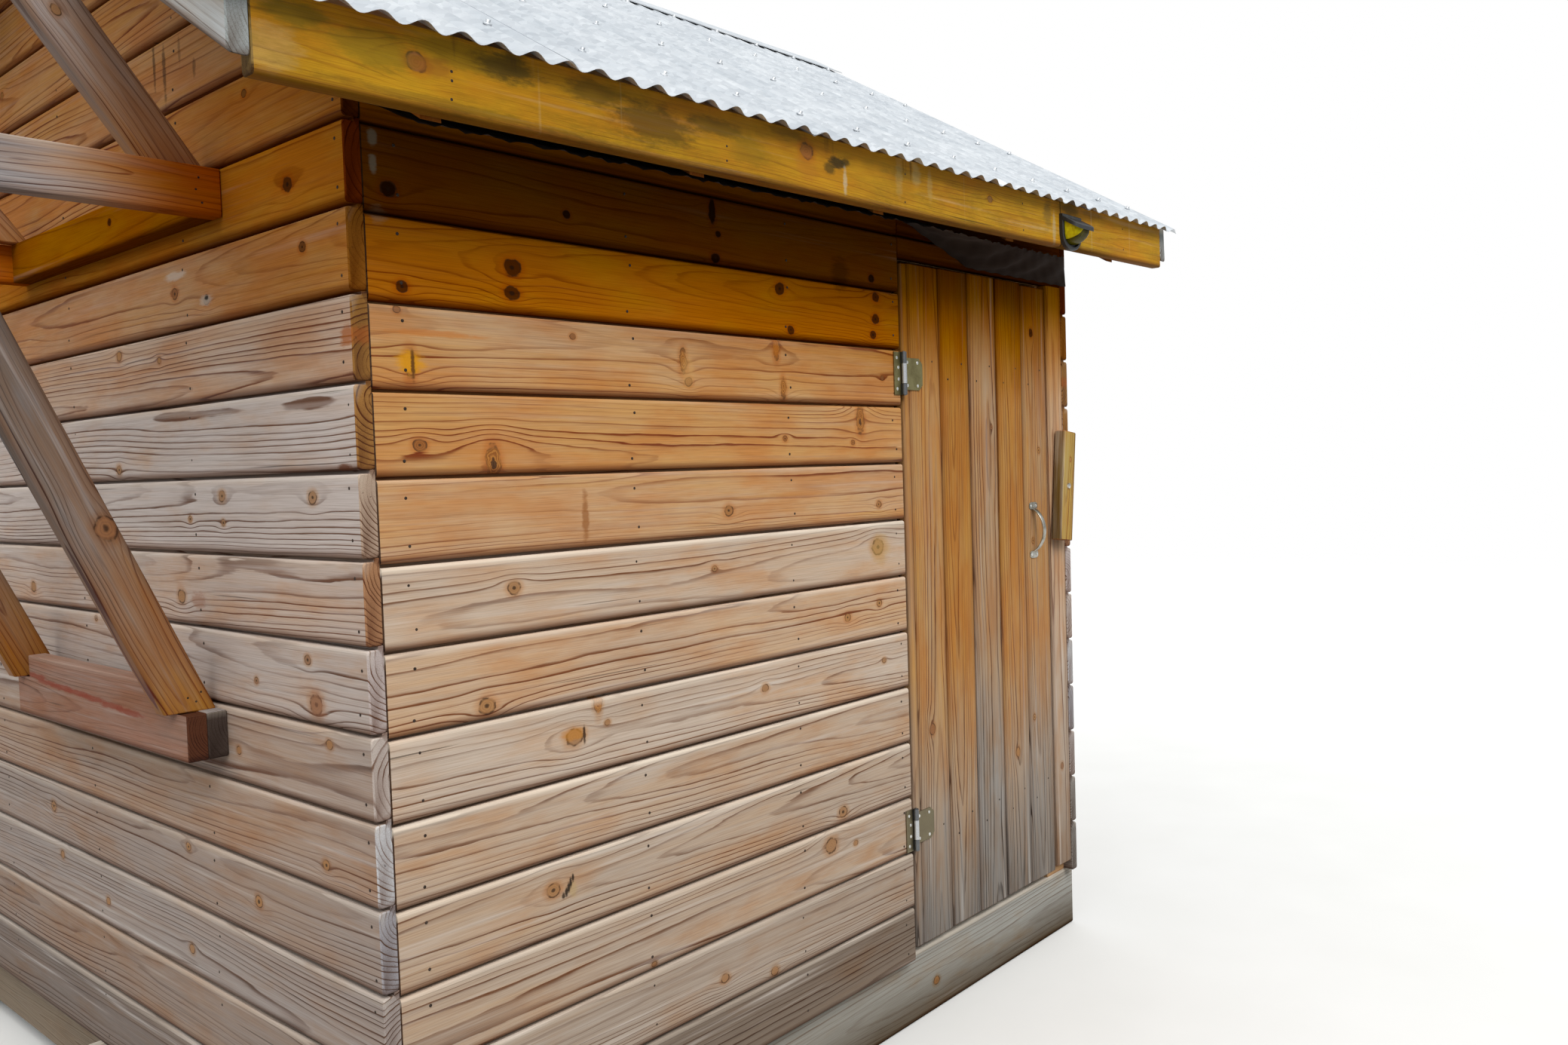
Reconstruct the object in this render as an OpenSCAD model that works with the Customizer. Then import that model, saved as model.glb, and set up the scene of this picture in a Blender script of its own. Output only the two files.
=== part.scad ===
// Ice fishing hut: a small framed cabin, eight feet square, on three skid timbers.
// The ground under the middle of the hut is the origin, +Z is up and the door side faces -Y.

/* [Body] */
// Width of the hut across the door side, outside the walls
hut_w = 2438; // [2200:2:2600]
// Depth of the hut, from the door side to the back
hut_d = 2438; // [2200:2:2600]
// Thickness of the wall boards
wall_t = 32; // [28:1:36]
// Height at which the wall boards start, just below the top of the skids
wall_base = 188; // [185:1:189]
// Height of the front and back walls' upper edge, under the rafters
wall_top = 2160; // [2140:1:2162]

/* [Floor] */
// Height of a skid timber
skid_h = 190; // [190:1:200]
// Width of a skid timber
skid_t = 140; // [125:5:160]
// Length of a skid past each side wall
skid_over = 25; // [0:5:60]
// Height of a floor joist
joist_h = 140; // [120:5:145]
// Thickness of the floor deck
deck_t = 19; // [15:1:20]

/* [Frame] */
// Thickness of studs, plates, rafters and other frame timber
stud_t = 38; // [36:1:40]
// Width of studs, plates and rafters
stud_w = 89; // [85:1:92]
// Height of the top plates' upper face, where the rafters sit
plate_top = 2200; // [2195:1:2210]

/* [Door] */
// Left edge of the door leaf, measured from the hut's left side
door_x = 1545; // [1545:1:1550]
// Width of the door leaf
door_w = 752; // [740:1:752]
// Height of the door's lower edge above the ground
door_z = 220; // [216:1:226]
// Height of the door leaf
door_h = 1801; // [1780:1:1801]
// Thickness of the door's boards
door_t = 27; // [24:1:27]
// Gap on the hinge side, which the hinge axis is centred on
door_gap = 10; // [8:1:12]
// Left edge of the post beside the door, measured from the hut's left side
post_x = 2313; // [2310:1:2314]

/* [Hinges] */
// Distance from the wall's face out to the hinge axis
hinge_out = 8; // [8:0.5:9]
// Outside radius of the hinge barrel
barrel_r = 7.2; // [6.5:0.1:7.4]
// Radius of the hinge pin
pin_r = 3.5; // [3:0.1:4]
// Thickness of the hinge leaves
leaf_t = 2.5; // [2:0.1:3]
// Height of a hinge barrel and of its leaf on the wall
barrel_h = 110; // [100:1:115]
// Height of the long leaf on the door
door_leaf_h = 83; // [78:1:88]
// Heights of the middle of the lower and upper hinge
hinge_zs = [538, 1730];

/* [Pull and turn button] */
// Length of the turn button
button_l = 336; // [320:1:340]
// Width of the turn button
button_w = 76; // [70:1:78]
// Thickness of the turn button
button_t = 32; // [30:1:38]
// Distance of the turn button's screw from the hut's left side
button_x = 2361; // [2361:1:2364]
// Height of the turn button's screw
button_z = 1414; // [1412:1:1425]
// Lean of the turn button to the right, as it stands open
button_lean = 6.5; // [4:0.5:6.5]
// Distance of the pull handle from the hut's left side
pull_x = 2204; // [2190:1:2208]
// Height of the middle of the pull handle
pull_z = 1286; // [1270:1:1286]
// Length of the pull handle
pull_l = 169; // [150:1:169]
// How far the pull handle's bow stands out
pull_out = 40; // [30:1:44]

/* [Roof] */
// Slope of the roof in degrees
pitch = 31; // [28:0.5:33]
// Distance from the front wall's face to the face of the fascia
eave_out = 205; // [195:1:215]
// Distance from a side wall to the outer face of the sloping gable rafter
gable_out = 278; // [265:1:290]
// Height of the fascia's upper edge
eave_z = 2196; // [2192:1:2198]
// Height of the fascia board
fascia_h = 124; // [118:1:130]
// Thickness of the fascia and the gable rafters
trim_t = 32; // [28:1:36]
// Number of waves across the whole roof
waves = 45;
// Waves that one sheet covers before the next one starts
cover_waves = 9;
// Depth of a wave from crest to trough
wave_h = 13; // [11:0.5:16]
// Thickness of a roof sheet
sheet_t = 1.2; // [1:0.1:1.5]
// How far the sheets reach past the fascia
sheet_over = 30; // [15:1:45]
// How far the roof is out of level, in degrees: its right end stands higher
roof_lean = 0.85; // [0:0.05:0.9]

/* [Panel rack on the left wall] */
// How far the rack's arms reach out from the wall
arm_l = 472; // [440:2:500]
// Height of the upper ledger's and the arms' lower edge
arm_z = 1990; // [1980:1:2000]
// Height of the lower ledger's lower edge
ledger_z = 975; // [960:1:990]
// Start of the lower ledger, measured back from the front wall
ledger_y = 520; // [510:1:530]
// Length of the lower ledger
ledger_l = 925; // [900:5:950]
// Lean of the braces under the arms, away from the wall
brace_lean = 23.9; // [22:0.1:24]
// Lean of the struts above the arms, away from the wall
strut_lean = 37; // [34:1:40]
// How far the struts reach out from the wall
strut_reach = 420; // [380:5:460]

/* [Hidden] */
$fn = 48;

// Left and front faces of the hut, and the inside faces of the frame
x0 = -hut_w / 2;
x1 = hut_w / 2;
y0 = -hut_d / 2;
y1 = hut_d / 2;
frame_x0 = x0 + wall_t;
frame_x1 = x1 - wall_t;
frame_y0 = y0 + wall_t;
frame_y1 = y1 - wall_t;
eps = 0.01;
joint_gap = 0.5;
seat_gap = 0.2;

// Roof planes: the purlins' upper face, the rafters' upper face and their lower face
slope = tan(pitch);
fascia_y = y0 - eave_out;
purlin_drop = stud_t / cos(pitch);
rafter_drop = (stud_t + stud_w) / cos(pitch);
gable_drop = stud_w / cos(pitch);
function roof_z(y) = eave_z + (min(y, -y) - fascia_y) * slope;
ridge_z = roof_z(0);
ridge_h = 140;
ridge_low = roof_z(stud_t / 2) - purlin_drop - ridge_h - 0.2;
roof_run = -fascia_y;
gable_x = hut_w / 2 + gable_out;

// Door
leaf_x0 = x0 + door_x;
leaf_x1 = leaf_x0 + door_w;
hinge_x = leaf_x0 - door_gap / 2;
hinge_y = y0 - hinge_out;
wall_end_x = leaf_x0 - door_gap;
door_top = door_z + door_h;
lintel_z = door_top + 8;

// Knuckles of a hinge, as parts of the barrel's height from its lower end
knuckle_cuts = [0, 29, 81, barrel_h];
knuckle_gap = 0.5;

// Corrugated sheets
wave_pitch = 3048 / waves;
wave_steps = 8;
sheet_count = waves / cover_waves;
lap_waves = 0.75;
roof_x0 = -waves * wave_pitch / 2;
lap_rise = sheet_t + 0.3;
purlin_rows = [70, 560, 1050, 1530];

// How much higher the roof is at x than over the middle of the hut
function lean(x) = x * tan(roof_lean);

// Tips its children with the roof, about the middle of the hut at the height z
module leaned(z) {
  translate([0, 0, z])
    rotate([0, -roof_lean, 0])
      translate([0, 0, -z])
        children();
}

// A box from one corner to the other
module block(a, b) {
  translate(a)
    cube([b[0] - a[0], b[1] - a[1], b[2] - a[2]]);
}

// An outline in the YZ plane drawn as a board from x_low to x_high
module board_yz(x_low, x_high, points) {
  translate([x_low, 0, 0])
    rotate([90, 0, 90])
      linear_extrude(height = x_high - x_low)
        polygon(points);
}

// An outline in the XZ plane drawn as a board from y_low to y_high
module board_xz(y_low, y_high, points) {
  translate([0, y_high, 0])
    rotate([90, 0, 0])
      linear_extrude(height = y_high - y_low)
        polygon(points);
}

// Draws its children at the front and again, turned about, at the back
module front_and_back() {
  children();
  mirror([0, 1, 0])
    children();
}

// Floor: three skid timbers with joists let in between them
module skid(y_low) {
  color("darkkhaki")
    block([x0 - skid_over, y_low, 0], [x1 + skid_over, y_low + skid_t, skid_h]);
}

module front_skid() {
  skid(frame_y0);
}

module middle_skid() {
  skid(-skid_t / 2);
}

module back_skid() {
  skid(frame_y1 - skid_t);
}

joist_xs = [for (i = [0:4]) frame_x0 + i * (frame_x1 - frame_x0 - stud_t) / 4];

module floor_joists() {
  color("tan")
    front_and_back()
      for (x = joist_xs)
        block([x, frame_y0 + skid_t, skid_h - joist_h], [x + stud_t, -skid_t / 2, skid_h]);
}

// The deck fills the floor between the plates and runs out through the doorway
module floor_deck() {
  fit = 1;
  color("burlywood")
    union() {
      block([frame_x0 + stud_t + fit, frame_y0 + stud_w + fit, skid_h],
            [frame_x1 - stud_t - fit, frame_y1 - stud_w - fit, skid_h + deck_t]);
      block([wall_end_x + 15 + fit, frame_y0 + 22, skid_h],
            [x0 + post_x - 13 - fit, frame_y0 + stud_w + 2, skid_h + deck_t]);
    }
}

// Frame of the walls
module bottom_plates() {
  color("tan") {
    block([frame_x0, frame_y0, skid_h],
          [wall_end_x + 15, frame_y0 + stud_w, skid_h + stud_t]);
    block([x0 + post_x - 13, frame_y0, skid_h],
          [frame_x1, frame_y0 + stud_w, skid_h + stud_t]);
    block([frame_x0, frame_y1 - stud_w, skid_h], [frame_x1, frame_y1, skid_h + stud_t]);
    for (x = [frame_x0, frame_x1 - stud_t])
      block([x, frame_y0 + stud_w + joint_gap, skid_h],
            [x + stud_t, frame_y1 - stud_w - joint_gap, skid_h + stud_t]);
  }
}

front_stud_xs = [
  frame_x0, x0 + 505, x0 + 995,
  wall_end_x + 15 - stud_t, x0 + post_x - 13, frame_x1 - stud_t
];
back_stud_xs = [for (i = [0:4]) frame_x0 + i * (frame_x1 - frame_x0 - stud_t) / 4];
side_stud_ys = [for (i = [1:3]) y0 + i * hut_d / 4 - stud_w / 2];

// A stud of the front or back wall, under the leaning top plate
module stud(x, y) {
  top = plate_top - stud_t - seat_gap;
  board_xz(y, y + stud_w, [
    [x, skid_h + stud_t], [x + stud_t, skid_h + stud_t],
    [x + stud_t, top + lean(x + stud_t)], [x, top + lean(x)]
  ]);
}

// A stud of a side wall, cut to the slope of the end rafter or to the ridge board
module side_stud(x, y) {
  low = ridge_low - 1;
  board_yz(x, x + stud_t, [
    [y, skid_h + stud_t], [y + stud_w, skid_h + stud_t],
    [y + stud_w, min(roof_z(y + stud_w) - rafter_drop - seat_gap, low) + lean(x)],
    [y, min(roof_z(y) - rafter_drop - seat_gap, low) + lean(x)]
  ]);
}

module wall_studs() {
  color("tan") {
    for (x = front_stud_xs)
      stud(x, frame_y0);
    for (x = back_stud_xs)
      stud(x, frame_y1 - stud_w);
    for (x = [frame_x0, frame_x1 - stud_t])
      for (y = side_stud_ys)
        side_stud(x, y);
  }
}

module top_plates() {
  color("tan")
    front_and_back()
      leaned(plate_top - stud_t / 2)
        block([frame_x0 + joint_gap, frame_y0, plate_top - stud_t],
              [frame_x1 - joint_gap, frame_y0 + stud_w, plate_top]);
}

module door_lintel() {
  color("tan")
    block([wall_end_x + 15, frame_y0, lintel_z],
          [x0 + post_x - 13, frame_y0 + stud_w, lintel_z + stud_t]);
}

// A front or back wall between two heights, with its upper edge along the leaning eave
module wall_board(x_low, x_high, y, z) {
  board_xz(y, y + wall_t, [
    [x_low, z], [x_high, z], [x_high, wall_top + lean(x_high)], [x_low, wall_top + lean(x_low)]
  ]);
}

// Walls: single boards outside the frame; the side walls cover the front wall's ends
module front_wall() {
  color("peru")
    difference() {
      wall_board(frame_x0, wall_end_x, y0, wall_base);
      // The bore of the gas hose
      translate([x0 + 1382, y0 - 1, 552])
        rotate([-90, 0, 0])
          cylinder(h = wall_t + 2, r = 14);
    }
}

module door_header() {
  color("saddlebrown")
    wall_board(wall_end_x, frame_x1, y0, lintel_z);
}

module door_post() {
  color("peru")
    difference() {
      block([x0 + post_x, y0, door_z + 7], [frame_x1 - 4, frame_y0, lintel_z]);
      translate([x0 + button_x, y0 - 1, button_z])
        rotate([-90, 0, 0])
          cylinder(h = wall_t + 2, r = 4);
    }
}

// A side wall runs up into the gable, under the purlins
module side_wall(x) {
  top = purlin_drop + 1 - lean(x);
  points = [
    [y0, skid_h], [y1, skid_h],
    [y1, roof_z(y1) - top], [0, ridge_z - top], [y0, roof_z(y0) - top]
  ];
  board_yz(x, x + wall_t, points);
}

module left_wall() {
  color("rosybrown")
    side_wall(x0);
}

module right_wall() {
  color("rosybrown")
    side_wall(frame_x1);
}

module back_wall() {
  color("peru")
    wall_board(frame_x0, frame_x1, frame_y1, wall_base);
}

// Roof: rafters with a seat cut on the top plate, plumb cut at the fascia and the ridge
rafter_xs = [for (i = [0:4]) frame_x0 + i * (frame_x1 - frame_x0 - stud_t) / 4];

module rafter(x) {
  tail_y = fascia_y + trim_t;
  head_y = -stud_t / 2;
  difference() {
    translate([0, 0, lean(x)])
      board_yz(x, x + stud_t, [
        [tail_y, roof_z(tail_y) - rafter_drop], [head_y, roof_z(head_y) - rafter_drop],
        [head_y, roof_z(head_y) - purlin_drop], [tail_y, roof_z(tail_y) - purlin_drop]
      ]);
    block([x - 1, frame_y0, plate_top - 60],
          [x + stud_t + 1, frame_y0 + stud_w, plate_top + lean(x + stud_t) + 0.05]);
  }
}

module rafters() {
  color("sandybrown")
    front_and_back()
      for (x = rafter_xs)
        rafter(x);
}

module ridge_board() {
  color("sandybrown")
    leaned(ridge_low + ridge_h / 2)
      block([frame_x0 + 1.5, -stud_t / 2, ridge_low],
            [frame_x1 - 1.5, stud_t / 2, ridge_low + ridge_h - 0.5]);
}

// Purlins lie flat on the rafters and reach out to the gable rafters
module purlins() {
  color("burlywood")
    front_and_back()
      for (s = purlin_rows)
        leaned(eave_z + s * sin(pitch))
          translate([0, fascia_y, eave_z])
            rotate([pitch, 0, 0])
              block([-gable_x + trim_t + 1.5, s, -stud_t + seat_gap],
                    [gable_x - trim_t - 1.5, s + stud_w, -seat_gap]);
}

// Fascia: two boards meeting at a butt joint, with the lower edge eased
module fascia(x_low, x_high) {
  ease = 5;
  top = eave_z - seat_gap;
  leaned(eave_z - fascia_h / 2)
    board_yz(x_low, x_high, [
      [fascia_y, eave_z - fascia_h + ease], [fascia_y + ease, eave_z - fascia_h],
      [fascia_y + trim_t, eave_z - fascia_h], [fascia_y + trim_t, top],
      [fascia_y, top]
    ]);
}

fascia_joint_x = x0 + 2026;

module front_fascia() {
  color("goldenrod") {
    fascia(-gable_x + trim_t + 1, fascia_joint_x - 0.5);
    fascia(fascia_joint_x + 0.5, gable_x - trim_t - 1);
  }
}

module back_fascia() {
  color("goldenrod")
    mirror([0, 1, 0])
      fascia(-gable_x + trim_t + 1, gable_x - trim_t - 1);
}

// Gable rafters hang on the purlins' ends, plumb cut at the eave and the ridge
module gable_rafters(x) {
  top = lean(x) - seat_gap;
  points = [
    [fascia_y, eave_z - gable_drop + top], [-0.5, roof_z(-0.5) - gable_drop + top],
    [-0.5, roof_z(-0.5) + top], [fascia_y, eave_z + top]
  ];
  front_and_back()
    board_yz(x, x + trim_t, points);
}

module left_gable_rafters() {
  color("silver")
    gable_rafters(-gable_x);
}

module right_gable_rafters() {
  color("silver")
    gable_rafters(gable_x - trim_t);
}

// Corrugated sheets: a wave drawn across the roof and run down the slope
function wave_z(u) = wave_h / 2 * (1 - cos(360 * u / wave_pitch));

module corrugated(first_wave, wave_span, rise) {
  steps = round(wave_span * wave_steps);
  us = [for (i = [0:steps]) (first_wave + i / wave_steps) * wave_pitch];
  low = [for (u = us) [roof_x0 + u, rise + wave_z(u)]];
  high = [for (i = [steps:-1:0]) [roof_x0 + us[i], rise + wave_z(us[i]) + sheet_t]];
  length = roof_run / cos(pitch) + sheet_over - 6;
  translate([0, fascia_y, eave_z])
    rotate([pitch, 0, 0])
      translate([0, length - sheet_over, 0])
        rotate([90, 0, 0])
          linear_extrude(height = length)
            polygon(concat(low, high));
}

module sheets(over) {
  last = sheet_count - 1;
  leaned((eave_z + ridge_z) / 2)
    for (i = [over ? 1 : 0 : 2 : last])
      corrugated(i * cover_waves - (over ? lap_waves / 2 : 0),
                 cover_waves + (over ? lap_waves : 0), over ? lap_rise : 0);
}

module front_under_sheets() {
  color("gainsboro")
    sheets(false);
}

module front_over_sheets() {
  color("whitesmoke")
    sheets(true);
}

module back_under_sheets() {
  color("gainsboro")
    mirror([0, 1, 0])
      sheets(false);
}

module back_over_sheets() {
  color("whitesmoke")
    mirror([0, 1, 0])
      sheets(true);
}

// Ridge cap: one folded sheet on the wave crests, with its long edges hemmed over
module ridge_cap() {
  wing = 150;
  cap_t = 1.5;
  hem = 14;
  seat = (wave_h + lap_rise + sheet_t + 1) / cos(pitch);
  // The right half's outline from the ridge down to the hem and back underneath
  half = [
    [0, cap_t / cos(pitch)],
    [(wing - hem) * cos(pitch) + cap_t * sin(pitch), -(wing - hem) * sin(pitch) + cap_t * cos(pitch)],
    [(wing - hem) * cos(pitch) + 2 * cap_t * sin(pitch),
     -(wing - hem) * sin(pitch) + 2 * cap_t * cos(pitch)],
    [wing * cos(pitch) + 2 * cap_t * sin(pitch), -wing * sin(pitch) + 2 * cap_t * cos(pitch)],
    [wing * cos(pitch), -wing * sin(pitch)]
  ];
  color("lightgray")
    leaned(ridge_z)
    translate([roof_x0, 0, ridge_z + seat])
      rotate([90, 0, 90])
        linear_extrude(height = waves * wave_pitch)
          polygon(concat(half, [[0, 0]], [for (i = [4:-1:1]) [-half[i][0], half[i][1]]]));
}

// Cloth under the eave: tight under the rafters on the left, torn and hanging over the door.
// A section runs from a point behind the fascia to a point at the wall
module cloth_section(x, front_y, front_z, back_z) {
  translate([x, 0, 0])
    rotate([90, 0, 90])
      linear_extrude(height = 1)
        polygon([
          [front_y, front_z], [y0 - 2, back_z], [y0 - 2, back_z + 4], [front_y, front_z + 4]
        ]);
}

cloth_y = fascia_y + trim_t + 1;
cloth_z = eave_z - fascia_h - 12;

module eave_cloth() {
  color("dimgray") {
    hull() {
      cloth_section(x0 + 30, cloth_y, cloth_z + lean(x0), 2112);
      cloth_section(x0 + 1300, cloth_y, cloth_z, 2133);
    }
    hull() {
      cloth_section(x0 + 1300, cloth_y, cloth_z, 2133);
      cloth_section(x0 + 1950, cloth_y, cloth_z, 2030);
    }
    hull() {
      cloth_section(x0 + 1950, cloth_y, cloth_z, 2030);
      cloth_section(x1 - 4, y0 - 32, 2042, 2030);
    }
  }
}

// Small solar light on the fascia, beside the joint
light_w = 110;
light_h = 96;
light_d = 56;
light_x = x0 + 2018;
light_top = eave_z - 24;

module light_housing() {
  color("darkslategray")
    difference() {
      board_yz(light_x, light_x + light_w, [
        [fascia_y, light_top - light_h], [fascia_y, light_top],
        [fascia_y - light_d, light_top - 34], [fascia_y - light_d, light_top - 44],
        [fascia_y - 20, light_top - light_h]
      ]);
      board_yz(light_x + 7, light_x + light_w - 7, [
        [fascia_y - 12, light_top - light_h + 8], [fascia_y - 12, light_top - 34],
        [fascia_y - light_d - 1, light_top - 45], [fascia_y - 22, light_top - light_h - 1]
      ]);
    }
}

module light_lens() {
  color("gold")
    board_yz(light_x + 8, light_x + light_w - 8, [
      [fascia_y - 12, light_top - light_h + 9], [fascia_y - 12, light_top - 38],
      [fascia_y - light_d + 4, light_top - 47], [fascia_y - 21, light_top - light_h + 5]
    ]);
}

// Rack for a panel on the left wall: ledgers, arms, braces and struts
arm_ys = [y0 + 432, y0 + 1440];
brace_ys = [y0 + 560, y0 + 1390];
strut_ys = [y0 + 470, y0 + 1402];
ledger_top = ledger_z + stud_w;

module upper_ledger() {
  color("chocolate")
    block([x0 - stud_t, arm_ys[0] + stud_t, arm_z], [x0, arm_ys[1], arm_z + stud_w]);
}

module inner_ledger() {
  color("saddlebrown")
    block([x0 - stud_t, y0 + ledger_y, ledger_z],
          [x0, y0 + ledger_y + ledger_l, ledger_top]);
}

// The outer ledger is a wider board, notched at both ends for the braces
module outer_ledger() {
  a = y0 + ledger_y;
  b = a + ledger_l;
  full = ledger_z + 140;
  color("rosybrown")
    board_yz(x0 - 2 * stud_t, x0 - stud_t, [
      [a, ledger_z], [b, ledger_z], [b, ledger_top], [b - 82, ledger_top],
      [b - 82, full], [brace_ys[0] + stud_t, full], [brace_ys[0] + stud_t, ledger_top],
      [a, ledger_top]
    ]);
}

module rack_arms() {
  color("chocolate")
    for (y = arm_ys)
      block([x0 - arm_l, y, arm_z], [x0, y + stud_t, arm_z + stud_w]);
}

// A brace runs from the lower ledger out to the rail, level cut at its foot
module rack_braces() {
  foot_x = x0 - 2;
  rise = arm_z - ledger_top;
  foot_w = stud_w / cos(brace_lean);
  head_x = foot_x - rise * tan(brace_lean);
  color("chocolate")
    for (y = brace_ys)
      board_xz(y, y + stud_t, [
        [foot_x - foot_w, ledger_top], [foot_x, ledger_top],
        [head_x, arm_z], [head_x - foot_w, arm_z]
      ]);
}

// A strut rises from the upper ledger, past the roof's edge, to a plumb cut
module rack_struts() {
  foot_z = arm_z + stud_w;
  foot_w = stud_w / cos(strut_lean);
  reach = strut_reach;
  head_z = foot_z + reach / tan(strut_lean);
  drop = stud_w / sin(strut_lean);
  color("chocolate")
    for (y = strut_ys)
      board_xz(y, y + stud_t, [
        [x0 - 10 - foot_w, foot_z], [x0 - 10, foot_z],
        [x0 - 10 - reach, head_z], [x0 - 10 - reach, head_z - drop]
      ]);
}

module rack_rail() {
  color("chocolate")
    block([x0 - arm_l - stud_t, arm_ys[0], arm_z],
          [x0 - arm_l, arm_ys[1] + stud_t, arm_z + stud_w]);
}

// Hinges: interleaved knuckles on one pin, with leaves on the faces of wall and door
module knuckle(z, from, to, bore) {
  translate([hinge_x, hinge_y, z - barrel_h / 2 + from])
    difference() {
      cylinder(h = to - from, r = barrel_r);
      translate([0, 0, -1])
        cylinder(h = to - from + 2, r = bore);
    }
}

module hinge_web(z, from, to, side) {
  bottom = z - barrel_h / 2 + from;
  difference() {
    block([min(hinge_x, hinge_x + side * 20), y0 - leaf_t, bottom],
          [max(hinge_x, hinge_x + side * 20), y0, bottom + to - from]);
    translate([hinge_x, hinge_y, bottom - 1])
      cylinder(h = to - from + 2, r = barrel_r - 1);
  }
}

module wall_hinge_leaves() {
  color("darkkhaki")
    for (z = hinge_zs) {
      for (k = [0, 2])
        knuckle(z, knuckle_cuts[k] + (k == 2 ? knuckle_gap : 0),
                knuckle_cuts[k + 1] - (k == 0 ? knuckle_gap : 0), pin_r - eps);
      translate([hinge_x, hinge_y, z - barrel_h / 2 - 2])
        cylinder(h = barrel_h + 4, r = pin_r);
      for (k = [0, 2])
        hinge_web(z, knuckle_cuts[k] + (k == 2 ? knuckle_gap : 0),
                  knuckle_cuts[k + 1] - (k == 0 ? knuckle_gap : 0), -1);
      difference() {
        block([hinge_x - 36, y0 - leaf_t, z - barrel_h / 2],
              [hinge_x - barrel_r - 1, y0, z + barrel_h / 2]);
        for (h = [-40, -15, 15, 40])
          translate([hinge_x - 24 + (abs(h) > 20 ? 0 : 6), y0 - leaf_t - 1, z + h])
            rotate([-90, 0, 0])
              cylinder(h = leaf_t + 2, r = 2.6);
      }
    }
}

module door_hinge_leaves() {
  half = door_leaf_h / 2;
  a = hinge_x + barrel_r + 1;
  b = hinge_x + 91;
  color("darkkhaki")
    for (z = hinge_zs) {
      knuckle(z, knuckle_cuts[1] + knuckle_gap, knuckle_cuts[2] - knuckle_gap, pin_r + 0.08);
      hinge_web(z, knuckle_cuts[1] + knuckle_gap, knuckle_cuts[2] - knuckle_gap, 1);
      difference() {
        board_xz(y0 - leaf_t, y0, [
          [a, z - half], [b - 16, z - half], [b, z - half + 14],
          [b, z + half - 14], [b - 16, z + half], [a, z + half]
        ]);
        for (h = [-30, 30])
          for (w = [22, 68])
            translate([hinge_x + w, y0 - leaf_t - 1, z + h])
              rotate([-90, 0, 0])
                cylinder(h = leaf_t + 2, r = 2.6);
      }
    }
}

// Door leaf, and the two ledges that hold its boards together on the inside
module door_leaf() {
  color("sienna")
    block([leaf_x0, y0, door_z], [leaf_x1, y0 + door_t, door_top]);
}

module door_ledges() {
  color("tan")
    for (z = [door_z + 230, door_top - 320])
      block([leaf_x0 + 60, y0 + door_t, z],
            [leaf_x1 - 40, y0 + door_t + 30, z + stud_w]);
}

// Pull handle: a strap bowed out between two screw plates
module pull_handle() {
  plate_w = 48;
  plate_h = 23;
  plate_t = 2.5;
  strap_w = 15;
  strap_t = 5;
  span = pull_l - 2 * plate_h + 14;
  // Radius of the bow, from its chord and its rise
  rise = pull_out - plate_t;
  bow_r = (span * span / 4 + rise * rise) / (2 * rise);
  color("silver")
    translate([x0 + pull_x, y0, pull_z]) {
      for (side = [-1, 1])
        difference() {
          block([-plate_w / 2, -plate_t, side * (pull_l - plate_h) / 2 - plate_h / 2],
                [plate_w / 2, 0, side * (pull_l - plate_h) / 2 + plate_h / 2]);
          for (w = [-15, 15])
            translate([w, 1, side * (pull_l - plate_h) / 2])
              rotate([90, 0, 0])
                cylinder(h = plate_t + 2, r = 2.4);
        }
      intersection() {
        translate([-strap_w / 2, -pull_out + bow_r, 0])
          rotate([0, 90, 0])
            difference() {
              cylinder(h = strap_w, r = bow_r, $fn = 96);
              translate([0, 0, -1])
                cylinder(h = strap_w + 2, r = bow_r - strap_t, $fn = 96);
            }
        block([-strap_w, -pull_out - 1, -pull_l / 2], [strap_w, -plate_t / 2, pull_l / 2]);
      }
    }
}

// Turn button on one screw, standing open beside the door
module turn_button() {
  color("chocolate")
    translate([x0 + button_x, y0 - 5.3, button_z])
      rotate([0, button_lean, 0])
        difference() {
          block([-button_w / 2, -button_t, -button_l / 2], [button_w / 2, 0, button_l / 2]);
          rotate([90, 0, 0])
            translate([0, 0, -1])
              cylinder(h = button_t + 2, r = 4.08);
        }
}

module button_screw() {
  color("gray")
    translate([x0 + button_x, y0, button_z])
      rotate([90, 0, 0])
        rotate_extrude()
          polygon([
            [0, -28], [4, -28], [4, 0], [12, 0], [12, 5], [4, 5],
            [4, button_t + 5.6], [9, button_t + 5.6], [8, button_t + 9], [0, button_t + 10]
          ]);
}

front_skid();
middle_skid();
back_skid();
floor_joists();
floor_deck();
bottom_plates();
wall_studs();
top_plates();
door_lintel();
front_wall();
door_header();
door_post();
left_wall();
right_wall();
back_wall();
rafters();
ridge_board();
purlins();
front_fascia();
back_fascia();
left_gable_rafters();
right_gable_rafters();
front_under_sheets();
front_over_sheets();
back_under_sheets();
back_over_sheets();
ridge_cap();
eave_cloth();
light_housing();
light_lens();
upper_ledger();
inner_ledger();
outer_ledger();
rack_arms();
rack_braces();
rack_struts();
rack_rail();
wall_hinge_leaves();
button_screw();
door_leaf();
door_ledges();
door_hinge_leaves();
pull_handle();
turn_button();
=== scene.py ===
"""Looks of the ice fishing hut: boards, timber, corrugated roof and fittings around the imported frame.

Lengths are in metres in the row's frame: +Z up, the door side faces -Y, the ground is at Z = 0.
Colours are given as 0 to 255 screen values.
"""
import math
import random

import bpy
from mathutils import Matrix, Vector


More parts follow.
